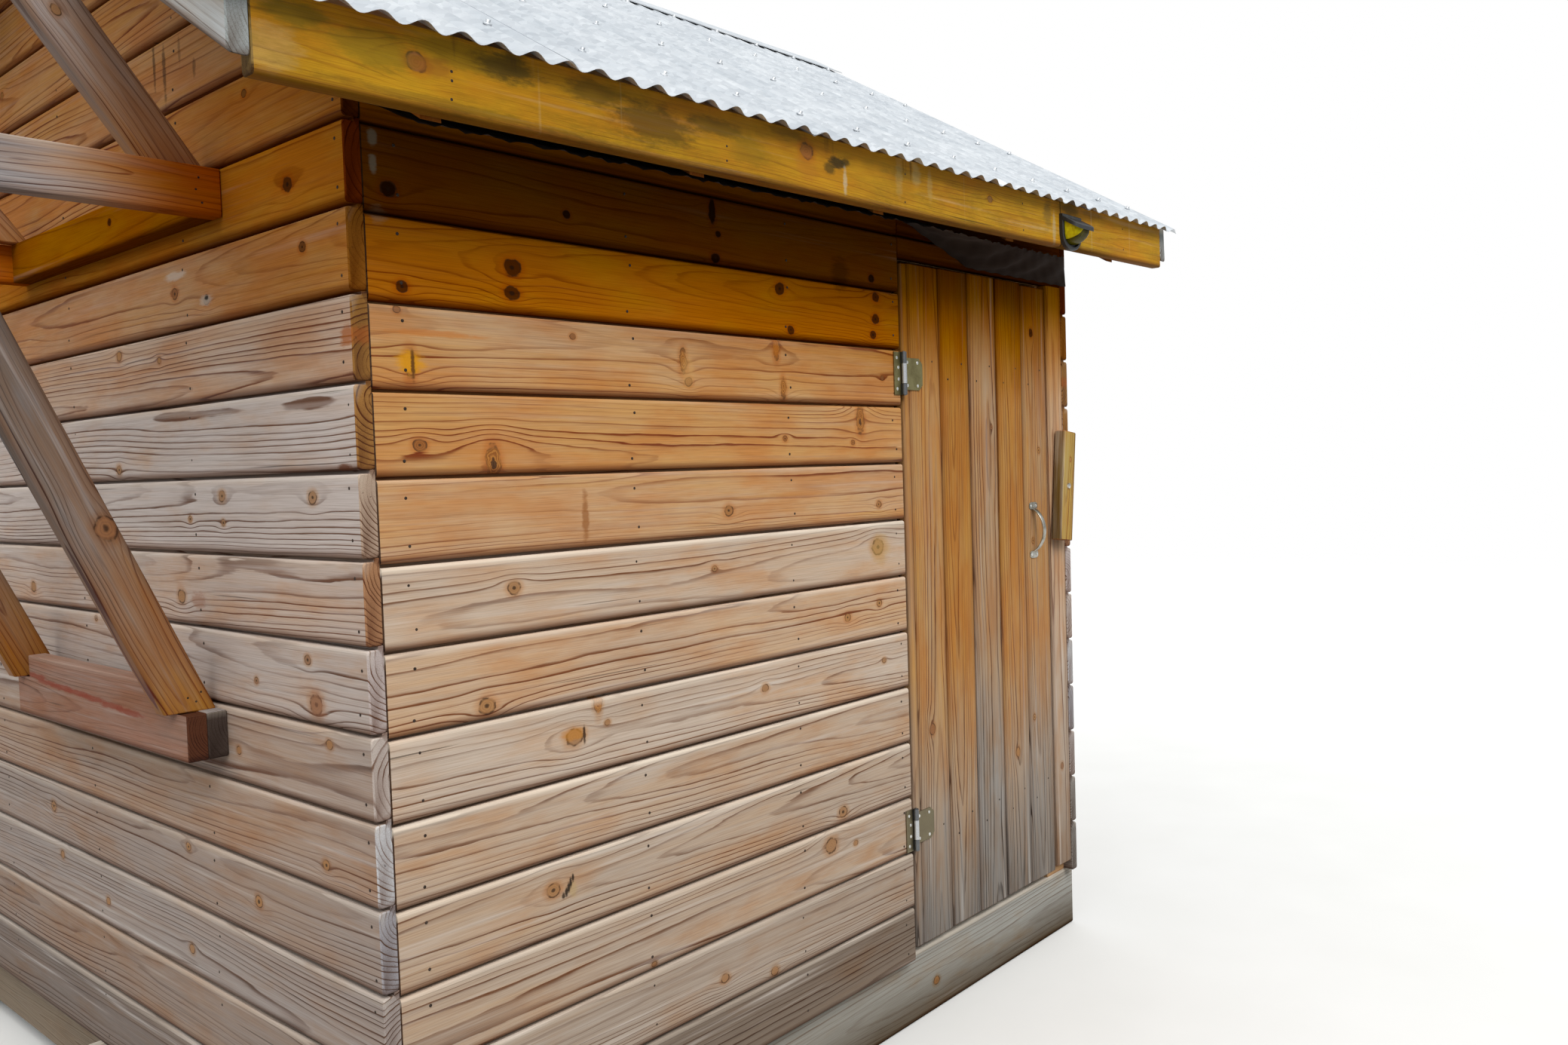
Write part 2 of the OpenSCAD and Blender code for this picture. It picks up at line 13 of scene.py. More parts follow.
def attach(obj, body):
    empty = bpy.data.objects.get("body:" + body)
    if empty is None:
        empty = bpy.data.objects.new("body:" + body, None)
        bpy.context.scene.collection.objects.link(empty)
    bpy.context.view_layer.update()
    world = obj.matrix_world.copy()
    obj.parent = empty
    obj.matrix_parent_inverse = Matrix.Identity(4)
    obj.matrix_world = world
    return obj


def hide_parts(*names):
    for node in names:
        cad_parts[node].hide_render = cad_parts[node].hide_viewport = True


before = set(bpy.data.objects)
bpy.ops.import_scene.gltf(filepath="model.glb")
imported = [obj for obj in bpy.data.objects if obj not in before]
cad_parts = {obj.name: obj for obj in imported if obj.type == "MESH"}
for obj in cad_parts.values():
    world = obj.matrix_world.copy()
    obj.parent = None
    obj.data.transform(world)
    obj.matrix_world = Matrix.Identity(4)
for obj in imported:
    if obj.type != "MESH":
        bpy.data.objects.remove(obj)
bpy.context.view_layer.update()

SEED = 20260
HALF = 1.219             # half of the hut's width and depth
WALL_T = 0.032           # thickness of the cladding
WALL_TOP = 2.160         # top of the front and back walls at the middle of the hut
BOARD_W = 0.140          # width of a board
PITCH_Z = 0.146          # from one board to the next
LIP = 0.0065             # how far a board's back reaches behind the next one, to close the gap
UNEVEN = 0.0014          # how far the boards' faces stand back from each other at most
FRONT_Y = -HALF
DOOR_X = (0.326, 1.078)  # the door leaf's two edges
DOOR_T = 0.027           # thickness of the door's boards
LUMBER_W, LUMBER_T = 0.089, 0.038  # the frame timber's section
SLOPE = math.radians(31)
EAVE_Y = -1.424          # face of the fascia
EAVE_Z = 2.196           # top of the fascia at the middle of the hut
FASCIA_W = 0.124
RIDGE_Z = EAVE_Z - EAVE_Y * math.tan(SLOPE)
LEAN = math.radians(0.85)  # the roof is out of level: its right end stands higher
GABLE_X = 1.497          # outer face of the gable rafters
EASE = 0.006             # rounding of a board's long edges
TIMBER_EASE = 0.003      # and of a timber's

X = Vector((1, 0, 0))
Y = Vector((0, 1, 0))
Z = Vector((0, 0, 1))
X_TIP = Vector((math.cos(LEAN), 0, math.sin(LEAN)))
Z_TIP = Vector((-math.sin(LEAN), 0, math.cos(LEAN)))


def lean(x):
    """How much higher the roof is at x than over the middle of the hut."""
    return x * math.tan(LEAN)


def tipped(p, z0):
    """A point of the roof, tipped about the middle of the hut at the height z0."""
    x, y, z = p
    return X_TIP * x + Y * y + Z_TIP * (z - z0) + Z * z0


def clamp(x, lo=0.0, hi=1.0):
    return max(lo, min(hi, x))


def bulge(value, power):
    """Brings a sine or cosine nearer to 1, which turns a circle into a rounded square."""
    return math.copysign(abs(value) ** power, value)


def srgb(*rgb):
    """Screen values in the linear values that shaders take."""
    return [c / 12.92 if c <= 0.04045 else ((c + 0.055) / 1.055) ** 2.4 for c in (v / 255 for v in rgb)]


# Shader nodes


class Val:
    """What a shader node puts out, with the plain signs for sums and products."""

    def __init__(self, graph, socket):
        self.graph, self.socket = graph, socket

    def __add__(self, other):
        return self.graph.math("ADD", self, other)

    def __sub__(self, other):
        return self.graph.math("SUBTRACT", self, other)

    def __rsub__(self, other):
        return self.graph.math("SUBTRACT", other, self)

    def __mul__(self, other):
        return self.graph.math("MULTIPLY", self, other)

    def __truediv__(self, other):
        return self.graph.math("DIVIDE", self, other)

    __radd__ = __add__
    __rmul__ = __mul__


class Graph:
    """A material, or the world, with helpers that add shader nodes and link them."""

    def __init__(self, name, world=False):
        self.block = (bpy.data.worlds if world else bpy.data.materials).new(name)
        self.block.use_nodes = True
        self.tree = self.block.node_tree
        self.tree.nodes.clear()
        out = self.tree.nodes.new("ShaderNodeOutputWorld" if world else "ShaderNodeOutputMaterial")
        self.surface = out.inputs["Surface"]
        if not world:
            self.bsdf = self.tree.nodes.new("ShaderNodeBsdfPrincipled")
            self.tree.links.new(self.bsdf.outputs[0], self.surface)

    def put(self, socket, value):
        """Fills a socket with a link, a screen colour or a plain value."""
        if isinstance(value, Val):
            self.tree.links.new(value.socket, socket)
        elif socket.type == "RGBA" and len(value) == 3:
            socket.default_value = (*srgb(*value), 1)
        else:
            socket.default_value = value

    def of(self, kind, values=(), output=0, **props):
        """Adds a node, fills its inputs by order or by name, and returns one of its outputs."""
        node = self.tree.nodes.new("ShaderNode" + kind)
        for key, value in props.items():
            setattr(node, key, value)
        for key, value in values.items() if isinstance(values, dict) else enumerate(values):
            self.put(node.inputs[key], value)
        return Val(self, node.outputs[output])

    def math(self, op, a, b=0.0, clamp=False):
        return self.of("Math", (a, b), operation=op, use_clamp=clamp)

    def high(self, a, b):
        return self.math("MAXIMUM", a, b)

    def low(self, a, b):
        return self.math("MINIMUM", a, b)

    def clip(self, a):
        return self.math("ADD", a, 0.0, clamp=True)

    def length(self, a, b):
        return self.math("SQRT", a * a + b * b)

    def vec(self, *xyz):
        return self.of("CombineXYZ", xyz)

    def split(self, vector):
        node = self.of("SeparateXYZ", (vector,)).socket.node
        return [Val(self, socket) for socket in node.outputs]

    def at(self):
        """The place in the object's own coordinates."""
        return self.of("TexCoord", output="Object")

    def noise(self, vector, scale=1.0, detail=2.0, rough=0.5):
        return self.of("TexNoise", {"Vector": vector, "Scale": scale, "Detail": detail, "Roughness": rough})

    def step(self, value, low, high, to=(0.0, 1.0)):
        """A smooth step from low to high."""
        return self.of("MapRange", (value, low, high, *to), interpolation_type="SMOOTHSTEP")

    def band(self, value, a, b, c, d):
        """A smooth step up from a to b and down again from c to d."""
        return self.step(value, a, b) * self.step(value, c, d, (1.0, 0.0))

    def mix(self, factor, a, b, blend="MIX"):
        return self.of("Mix", {0: factor, 6: a, 7: b}, output=2, data_type="RGBA", blend_type=blend)

    def tint(self, factor, colour, by):
        """The colour as seen through a coloured glaze."""
        return self.mix(factor, colour, self.mix(1.0, colour, by, "MULTIPLY"))

    def bump(self, height, distance, strength=1.0):
        return self.of("Bump", {"Strength": strength, "Distance": distance, "Height": height})

    def set(self, **sockets):
        for key, value in sockets.items():
            self.put(self.bsdf.inputs[key.replace("_", " ")], value)
        return self.block

    def blend(self, factor, first, second):
        """Shows the second shader instead of the first where the factor is 1."""
        self.put(self.surface, self.of("MixShader", (factor, first, second)))


class Wood(Graph):
    """Sawn softwood, in stages: growth rings, weathering, knots, end grain, stains, checks and moss."""

    def __init__(self, name, axis, fixed_tone):
        super().__init__(name)
        if axis is None:
            self.read_board()
        else:
            self.read_object(axis, fixed_tone)
        # A tone below zero darkens the wood instead of turning it amber: dirt and weathering, and in places
        # painted shade, as on the turn button's shaded left edge and the lowest front row
        self.grime_and_shade = self.high(self.dark * -1.0, 0.0)
        self.dark = self.high(self.dark, 0.0)
        self.seed = self.vec(self.r1 * 53.0, self.r2 * 47.0, (self.r1 + self.r2) * 31.0)
        self.bend_round_knots()

    def read(self, name, output="Vector"):
        return self.of("Attribute", output=output, attribute_name=name)

    def read_board(self):
        """A board mesh carries its own coordinates and looks as attributes."""
        self.uvw = self.split(self.read("grain"))
        self.r1, self.r2, self.end = self.split(self.read("board"))
        self.pith = self.split(self.read("pith"))
        self.knots = [self.split(self.read("knot%d" % k)) for k in range(3)]
        self.grey, self.warm, self.dark = self.split(self.read("tone"))

    def read_object(self, axis, fixed_tone):
        """For CAD nodes: the grain runs along an axis of the object, or up the slope of the roof."""
        x, y, z = self.split(self.at())
        if axis == "slope":
            y = self.math("ABSOLUTE", y)
            c, s = math.cos(SLOPE), math.sin(SLOPE)
            u, v, w = z * s - y * c, z * c + y * s, x
        else:
            u, v, w = {"x": (x, y, z), "y": (y, x, z), "z": (z, x, y)}[axis]
        cell = self.math("FLOOR", w * 3.0)
        self.r1, self.r2 = (self.math("FRACT", cell * turn) for turn in (0.37, 0.61))
        self.uvw = u, self.math("PINGPONG", v, 0.07), self.math("PINGPONG", w, 0.05)
        self.pith, self.knots = (0.03, -0.04, 0.005), []
        self.grey, self.warm, self.dark = fixed_tone

    def field(self, along, across, shift=0.0, detail=2.0, rough=0.5):
        """Noise in the board's own coordinates, stretched, and moved to another place for each board."""
        u, v, w = self.uvw
        place = self.vec(u * along + shift, v * across, w * across)
        return self.noise(self.of("VectorMath", (place, self.seed), operation="ADD"), 1.0, detail, rough)

    def bend_round_knots(self):
        """Rings flow round a knot; a knot with a negative radius was sawn along and lies across the board."""
        u, self.flow, w = self.uvw
        v = self.flow
        self.swell, self.q, self.has_knot, self.sawn_along = 0.0, 99.0, 0.0, 0.0
        for uk, vk, rk in self.knots:
            spike = self.math("LESS_THAN", rk, 0.0)
            size = self.math("ABSOLUTE", rk)
            real = self.math("GREATER_THAN", size, 0.001)
            size = self.high(size, 0.001)
            du, dv = u - uk, v - vk
            near = self.length(du * 0.27, dv * (0.52 - spike * 0.16)) / size
            near = self.math("EXPONENT", near * near * -1.0) * real
            here = self.length(du * (spike * 0.35 + 0.82), dv * (1.0 - spike * 0.50)) / size
            self.flow = self.flow - dv * near * 0.78
            self.swell = near * size + self.swell
            self.q = self.low(here + (1.0 - real) * 99.0, self.q)
            self.has_knot = self.high(real, self.has_knot)
            self.sawn_along = self.high(spike * near, self.sawn_along)

    def lay_rings(self, figure, stretch, coarse):
        """Rings round a pith that leans and wanders a little, so that they open into long arches on the
        board's face. Some are wider and darker than others."""
        u, v, w = self.uvw
        vp, wp, spacing = self.pith
        sway = (self.field(0.5 * stretch, 0, detail=1.0) - 0.5) * 0.07 + u * (self.r1 - 0.5) * 0.035
        dive = (self.field(0.7 * stretch, 0, 9.0, detail=1.5) - 0.5) * 0.045 + u * (self.r2 - 0.5) * 0.045
        dv, dw = self.flow - (sway + vp), w - (dive + wp)
        radius = self.length(dv, dw)
        steep = self.math("ABSOLUTE", dv) / radius
        wobble = self.field(2.4, 22, detail=3.0) - 0.5
        jitter = self.field(16, 140) - 0.5
        radius = radius + wobble * (0.0052 * figure) + jitter * 0.0012 - self.swell * 0.35
        rings = radius / (spacing * coarse)
        rings = rings + self.noise(self.vec(rings * 0.33, self.r1 * 70.0, 0.0), detail=1.0) * 2.2
        ring = self.math("FRACT", rings)
        number = self.math("FLOOR", rings) + self.r1 * 91.0
        strength = self.of("TexWhiteNoise", {"W": number}, noise_dimensions="1D") * 0.58 + 0.42
        soft = self.band(ring, 0.25, 0.90, 0.93, 1.0)
        sharp = self.band(ring, 0.70, 0.90, 0.94, 0.99)
        late = (soft * 0.16 + sharp * 0.84) * strength
        late = late * self.step(self.field(1.1, 10, 3.0), 0.3, 0.68, (0.22, 1.0))
        # Where a ring lies flat in the face it shows as a broad pale arch; under the eave all is fainter
        late = late * self.step(steep, 0.02, 0.32, (0.40, 1.0))
        self.late = late * (1.0 - self.low(self.dark * 2.0, 1.0) * 0.42)

    def weather(self, fresh, grey, amber, deep, lines, contrast):
        """From fresh to grey wood, and to the amber and deep brown of boards that rain never reaches."""
        self.fibre = self.field(9, 700, rough=0.6)
        streak = self.field(1.9, 85, detail=3.0, rough=0.6)
        cloud = self.field(1.5, 7.0, detail=4.0, rough=0.6)
        blotch = self.field(4.0, 13, 5.0, detail=4.0, rough=0.6)
        wet = self.clip(self.grey + (cloud - 0.5))
        self.wet = self.clip(wet + (streak - 0.5) * 0.6)
        self.smear = self.clip(self.dark + (cloud - 0.5) * 0.35) * self.low(self.dark * 6.0, 1.0)
        base = self.mix(self.wet, fresh, grey)
        base = self.mix(self.step(self.smear, 0.0, 0.6), base, amber)
        base = self.mix(self.step(self.smear, 0.5, 1.0), base, deep)
        patches = self.step(blotch + self.warm * 0.35, 0.52, 0.86, (0.0, 0.62))
        self.base = self.tint(patches, base, (244, 200, 146))
        # Late wood: brown lines on fresh wood, greyer ones on weathered wood
        colour = self.tint(self.late * contrast, self.base, self.mix(self.wet, *lines))
        # The grey-brown tint where the tone is below zero is dirt, and in places painted shade
        for much, by in ((self.step(cloud, 0.52, 0.80, (0.0, 0.35)), (214, 190, 160)),
                         (self.grime_and_shade, (120, 112, 104)),
                         (self.step(self.fibre, 0.32, 0.78, (0.0, 0.42)), (182, 160, 142)),
                         (self.step(streak, 0.55, 0.85, (0.0, 0.30)), (166, 134, 110))):
            colour = self.tint(much, colour, by)
        # Bleached streaks where the wood is weathered
        pale = self.step(self.field(1.3, 48, 21.0, detail=3.0, rough=0.6), 0.54, 0.78, (0.0, 0.6)) * self.wet
        return self.mix(pale, colour, self.mix(0.5, grey, (232, 226, 220)))

    def draw_knots(self, colour, tints):
        """Each knot has a thin dark broken rim, fine rings inside, and a warm halo around it."""
        q = self.q + (self.field(45, 60, detail=3.0) - 0.5) * (self.sawn_along * 0.7 + 0.6)
        fine = self.math("FRACT", q * 3.6)
        knot = self.mix(self.step(self.r2, 0.4, 0.6), *tints)
        knot = self.tint(self.step(fine, 0.45, 0.95, (0.0, 0.6)), knot, (180, 140, 100))
        knot = self.mix(self.wet * 0.62, knot, (146, 116, 92))
        knot = self.mix(self.step(self.smear, 0.1, 0.5), knot, (66, 32, 8))
        long_rings = self.mix(self.step(fine, 0.3, 0.7), (196, 132, 58), (140, 82, 30))
        knot = self.mix(self.sawn_along * 0.8, knot, long_rings)
        knot = self.mix(self.step(self.smear, 0.3, 0.7), knot, (60, 26, 4))
        knot = self.mix(self.step(self.smear, 0.72, 0.98), knot, (22, 10, 4))
        broken = self.step(self.field(70, 90, 2.0, detail=1.0), 0.36, 0.56, (0.25, 1.0))
        rim = self.band(q, 0.76, 0.94, 0.96, 1.14) * broken * (1.0 - self.sawn_along * 0.4)
        core = self.step(q, 0.14, 0.40, (0.85, 0.0)) * self.step(self.r1, 0.4, 0.6)
        colour = self.tint(self.step(q, 0.95, 2.0, (0.6, 0.0)) * self.has_knot, colour, (238, 196, 142))
        colour = self.mix(self.step(q, 0.86, 1.0, (0.88, 0.0)) * self.has_knot, colour, knot)
        colour = self.mix(rim * self.has_knot * 0.88, colour, (62, 38, 22))
        return self.mix(core * self.has_knot, colour, (46, 28, 16))

    def draw_ends(self, colour):
        """End grain is darker, with every ring showing, in the board's own colour where it has one."""
        own = self.read("ends")
        tone = self.mix(self.step(self.r1, 0.30, 0.45), (226, 196, 166), (234, 222, 210))
        tone = self.mix(self.step(self.r2, 0.66, 0.74), tone, (228, 178, 132))
        end = self.mix(1.0, self.base, tone, "MULTIPLY")
        end = self.mix(self.math("GREATER_THAN", self.split(own)[0], -0.5), end, own)
        end = self.tint(self.late * 1.9, end, (146, 106, 76))
        end = self.tint(self.step(self.field(0, 700), 0.42, 0.8, (0.0, 0.5)), end, (150, 128, 108))
        return self.mix(self.end, colour, end)

    def stain(self, colour, stains, axis):
        """Each stain: place along the axis, height, the two radii, colour and strength."""
        x, y, z = self.split(self.at())
        place = x if axis == "x" else y
        ragged = (self.field(28, 90, 31.0, detail=4.0, rough=0.7) - 0.5) * 1.5
        for a, height, ra, rz, tone, strength in stains:
            away = self.length((place - a) * (1 / ra), (z - height) * (1 / rz)) + ragged
            colour = self.mix(self.step(away, 0.5, 1.15, (strength, 0.0)), colour, tone)
        return colour

    def check(self, colour):
        """Drying checks: thin dark lines with the grain."""
        line = self.step(self.field(1.5, 150, 7.0, detail=1.0, rough=0.4), 0.685, 0.72)
        gate = self.step(self.field(2.1, 20, 11.0, detail=1.0), 0.56, 0.68)
        self.crack = line * gate * self.clip(self.wet * 0.8 + 0.15)
        return self.mix(self.crack * 0.7, colour, (48, 32, 22))

    def grow_moss(self, colour, moss):
        """Algae in specks, with dark drips and pale washed streaks across the board."""
        patch = self.step(self.field(2.2, 9, 13.0, detail=5.0, rough=0.65), 0.38, 0.72, (0.0, 0.7))
        specks = self.step(self.field(60, 260, 13.0, detail=3.0, rough=0.7), 0.25, 0.7, (0.45, 1.0))
        colour = self.mix(patch * specks, colour, moss)
        drip = self.field(21, 1.6, 17.0, detail=3.0, rough=0.7) * self.step(self.uvw[1], 0.0, 0.12, (0.72, 1.0))
        colour = self.mix(self.step(drip, 0.60, 0.72, (0.0, 0.62)), colour, (70, 50, 14))
        wash = self.step(self.field(34, 1.2, 27.0, rough=0.6), 0.68, 0.78, (0.0, 0.28))
        return self.mix(wash, colour, (206, 190, 140))

    def shade_edges(self, colour):
        """Painted light on the eased edges: the upper edge is pale, partly a painted highlight from the sky and
        partly dry wear, and the lower one is darkened with painted shade.
        """
        rim = self.read("rim", "Fac")
        # Pale upper edge: painted highlight and dry wear
        pale = self.high(rim, 0.0) * self.step(self.wet, 0.1, 0.6, (0.0, 0.62))
        colour = self.mix(pale, colour, (240, 226, 208))
        # Brown tint on the lower edge: painted shade
        return self.tint(self.high(rim * -1.0, 0.0) * 0.7, colour, (140, 100, 70))


def wood_shader(name, fresh=(208, 160, 104), grey=(190, 162, 142), amber=(164, 96, 14), contrast=1.0, moss=None,
                axis=None, fixed_tone=(0.2, 0.3, 0.0), deep=(92, 48, 12), stains=(), stain_axis="x",
                lines=((170, 116, 72), (156, 124, 104)), figure=1.0, stretch=1.0, coarse=1.0,
                knot_tints=((150, 92, 42), (186, 130, 66))):
    """The material for boards, or for a CAD node whose grain runs along axis.

    The tone is (weather, warm, dark): from fresh to grey wood, how much warm staining, and from there to
    the amber and then the deep brown of boards under the eave. lines are the colours that late wood takes
    on fresh and on grey wood. figure is how much the rings meander across the face, stretch how often
    they turn along it, and coarse how wide they are."""
    g = Wood(name, axis, fixed_tone)
    g.lay_rings(figure, stretch, coarse)
    colour = g.weather(fresh, grey, amber, deep, lines, contrast)
    if axis is None:
        colour = g.draw_ends(g.draw_knots(colour, knot_tints))
    if stains:
        colour = g.stain(colour, stains, stain_axis)
    colour = g.check(colour)
    if moss:
        colour = g.grow_moss(colour, moss)
    if axis is None:
        colour = g.shade_edges(colour)
        shine = (1.0 - g.low(g.dark * 3.0, 1.0)) * 0.22
    else:
        shine = 0.22 * (1 - clamp(3 * fixed_tone[2]))
    relief = g.late * (g.wet * 0.9 + 0.25) + g.fibre * 0.26 - g.crack * 1.6
    return g.set(Base_Color=colour, Roughness=g.wet * 0.22 + (g.fibre * 0.12 + 0.54),
                 Normal=g.bump(relief, 0.0010, 0.6), Specular_IOR_Level=shine)


# Meshes


def place(name, mesh, material, body, slot, nodes=()):
    """Makes an object of a mesh, with its material and body, in the place of CAD nodes. slot is not used."""
    obj = bpy.data.objects.new(name, mesh)
    bpy.context.scene.collection.objects.link(obj)
    mesh.materials.clear()
    mesh.materials.append(material)
    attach(obj, body)
    if nodes:
        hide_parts(*nodes)
    return obj


def dress(node, material):
    """Gives a CAD node its material."""
    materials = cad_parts[node].data.materials
    materials.clear()
    materials.append(material)


def mesh_of(name, verts, faces, smooth):
    mesh = bpy.data.meshes.new(name)
    mesh.from_pydata([tuple(v) for v in verts], [], faces)
    mesh.polygons.foreach_set("use_smooth", smooth)
    return mesh


def skin(base, rings, n, closed=True, caps=True, strips=False, flip=False):
    """The faces between rings of n points each, and over the first and the last ring. With strips, these
    are covered from side to side, for outlines that aren't flat."""
    faces = []
    for r in range(rings - 1):
        for k in range(n if closed else n - 1):
            a, b, m = base + r * n, base + (r + 1) * n, (k + 1) % n
            faces.append((a + k, a + m, b + m, b + k))
    for ring, way in ((base, -1), (base + (rings - 1) * n, 1)) if caps else ():
        parts = [(j, j + 1, n - 2 - j, n - 1 - j) for j in range(n // 2 - 1)] if strips else [tuple(range(n))]
        faces += [tuple(ring + j for j in part[::way]) for part in parts]
    return [f[::-1] for f in faces] if flip else faces


class Planks:
    """Collects boards, each with eased edges and its own grain, into one mesh."""

    def __init__(self, name, salt=0):
        self.name = name
        self.rng = random.Random(SEED + salt)
        self.verts, self.faces, self.smooth = [], [], []
        self.points = {"grain": [], "tone": [], "rim": []}
        self.corners = {key: [] for key in ("knot0", "knot1", "knot2", "pith", "board", "ends")}

    def add(self, origin, u_dir, v_dir, length, width, thick, tone, knots=(), start=None, stop=None,
            ease=EASE, pith=None, knot_rate=0.0, inset=0.0, seeds=None, turn=None, kinks=(), lip=0.0,
            rims=(-1.0, 1.0), rise=0.0, ends=None):
        """One board. origin is its lowest back corner, u_dir runs along it, v_dir across it and the third
        direction, u x v or turned about, is its thickness towards the face. start and stop give the ends of
        a board cut at a slope, and kinks the widths where such a cut changes direction. A lip at the back
        closes the gap to the next board. rims tell the shader about the lower and the upper edge, and rise
        is how fast the upper edge climbs along the board. ends is a colour for the end grain."""
        rng = self.rng
        w_dir = u_dir.cross(v_dir) if turn is None else Vector(turn)
        origin = Vector(origin)
        start = start or (lambda v: 0.0)
        stop = stop or (lambda v: length)
        r1, r2 = seeds or (rng.random(), rng.random())
        pith = pith or (width * (0.5 + rng.uniform(-0.42, 0.42)), -rng.uniform(0.015, 0.07),
                        rng.uniform(0.0050, 0.0080))
        face_w = thick - inset
        loop = self._section(width, face_w, ease, kinks, lip, rims)
        a, b = start(width / 2), stop(width / 2)
        stations, owners = self._cells(a, b, self._all_knots(knots, knot_rate, a, b, width))
        # The ends are bevelled: their outermost ring is drawn in a little
        bevel, draw_in = min(0.0022, (b - a) / 4), 0.0018
        span = max(b - a, 1e-6)
        rings = [(0.0, draw_in), (bevel / span, 0.0)]
        rings += [((s - a) / span, 0.0) for s in stations]
        rings += [(1 - bevel / span, 0.0), (1.0, draw_in)]
        base, n = len(self.verts), len(loop)
        cv, cw = width / 2, face_w / 2
        for s, shrink in rings:
            for v, w, rim in loop:
                head, tail = start(v), stop(v)
                if shrink:
                    v += math.copysign(min(shrink, abs(v - cv)), cv - v)
                    w += math.copysign(min(shrink, abs(w - cw)), cw - w)
                u = head + (max(tail, head) - head) * s
                v += rise * u if v > cv else 0.0
                p = origin + u_dir * u + v_dir * v + w_dir * w
                self.verts.append(p)
                for key, value in zip(self.points, ((u, v, w), tone(p) if callable(tone) else tone, rim)):
                    self.points[key].append(value)
        last = len(rings) - 2
        owners = [owners[0]] + owners + [owners[-1]]
        end_colour = srgb(*ends) if ends else (-1.0, -1.0, -1.0)
        flip = u_dir.cross(v_dir).dot(w_dir) < 0
        for index, ids in enumerate(skin(base, len(rings), n, strips=bool(kinks), flip=flip)):
            i, j = divmod(index, n)
            if i > last:
                i = 0 if ids[0] < base + n else last
                edge = True
            else:
                edge = i in (0, last)
            self.faces.append(ids)
            self.smooth.append(not edge and abs(loop[j][2] + loop[(j + 1) % n][2]) > 1.5)
            looks = (*owners[i], pith, (r1, r2, 1.0 if edge else 0.0), end_colour)
            for key, value in zip(self.corners, looks):
                self.corners[key] += [value] * len(ids)

    def _all_knots(self, knots, rate, a, b, width):
        """The given knots, and more of them by chance: (place along, place across, radius)."""
        rng, knots = self.rng, sorted(knots)
        if rate:
            u = a + rng.uniform(0.08, 0.4)
            while u < b - 0.08:
                if rng.random() < rate and all(abs(k[0] - u) > 0.20 for k in knots):
                    knots.append((u, width * rng.uniform(0.16, 0.84), rng.uniform(0.0065, 0.0135)))
                u += rng.uniform(0.22, 0.55)
        return sorted(knots)

    @staticmethod
    def _cells(a, b, knots):
        """Cuts a board from a to b into cells with up to three near knots each, none longer than 0.4 m."""
        groups = []
        for k in knots:
            if groups and len(groups[-1]) < 3 and k[0] - groups[-1][-1][0] < 0.16:
                groups[-1].append(k)
            else:
                groups.append([k])
        cuts = [a] + [(p[-1][0] + q[0][0]) / 2 for p, q in zip(groups, groups[1:])] + [b]
        stations, owners = [], []
        for i, (lo, hi) in enumerate(zip(cuts, cuts[1:])):
            n = max(1, math.ceil((hi - lo) / 0.4))
            for j in range(n):
                stations.append(lo + (hi - lo) * j / n)
                owners.append(((groups[i] if groups else []) + [(0, 0, 0)] * 3)[:3])
        return stations[1:], owners

    @staticmethod
    def _section(width, thick, ease, kinks, lip, rims):
        """The board's outline across: (v, w, rim), with the back at w = 0 and rounded corners."""
        def arc(cv, cw, a0, rim):
            turns = [math.radians(a0 + 30 * k) for k in range(4)]
            return [(cv + ease * math.cos(a), cw + ease * math.sin(a), rim) for a in turns]

        inner = sorted(v for v in {ease + 0.009, width - ease - 0.009, *kinks} if ease < v < width - ease)
        out = arc(ease, ease, 180, rims[0]) + [(v, 0.0, 0.0) for v in inner]
        if lip and not kinks:
            out += [(width + lip, 0.0, -1.0), (width + lip, 0.009, -1.0), (width, 0.009, 0.0)]
        else:
            out += arc(width - ease, ease, 270, rims[1])
        out += arc(width - ease, thick - ease, 0, rims[1]) + [(v, thick, 0.0) for v in reversed(inner)]
        return out + arc(ease, thick - ease, 90, rims[0])

    def build(self, material, body, slot, *nodes):
        mesh = mesh_of(self.name, self.verts, self.faces, self.smooth)
        for domain, layers in (("POINT", self.points), ("CORNER", self.corners)):
            for name, values in layers.items():
                plain = name == "rim"
                layer = mesh.attributes.new(name, "FLOAT" if plain else "FLOAT_VECTOR", domain)
                flat = values if plain else [c for value in values for c in value]
                layer.data.foreach_set("value" if plain else "vector", flat)
        mesh.validate()
        return place(self.name, mesh, material, body, slot, nodes)


class Bits:
    """Collects turned and lofted things, such as nails or sheets, into one mesh."""

    def __init__(self, name):
        self.name, self.verts, self.faces, self.smooth = name, [], [], []

    def loft(self, rings, smooth=True, closed=True, caps=True, strips=False, flip=False):
        """Skins rings of points. The caps stay flat."""
        n = len(rings[0])
        faces = skin(len(self.verts), len(rings), n, closed, caps, strips, flip)
        sides = (len(rings) - 1) * (n if closed else n - 1)
        self.verts += [p for ring in rings for p in ring]
        self.faces += faces
        self.smooth += [smooth and i < sides for i in range(len(faces))]

    def lathe(self, centre, axis, profile, sides=10):
        """profile: (distance along the axis, radius) from the foot to the head."""
        axis = Vector(axis).normalized()
        side = axis.orthogonal().normalized()
        other = axis.cross(side)
        turns = [2 * math.pi * i / sides for i in range(sides)]
        self.loft([[Vector(centre) + axis * h + (side * math.cos(a) + other * math.sin(a)) * r for a in turns]
                   for h, r in profile])

    def build(self, material, body, slot, *nodes, sharp=None):
        """With sharp, all is smooth but for edges that turn by more than so many degrees."""
        mesh = mesh_of(self.name, self.verts, self.faces, [s or sharp is not None for s in self.smooth])
        mesh.validate()
        if sharp is not None:
            mesh.set_sharp_from_angle(angle=math.radians(sharp))
        return place(self.name, mesh, material, body, slot, nodes)


NAIL = ((-0.004, 0.0029), (0.0004, 0.0029), (0.0009, 0.0020))


# Materials

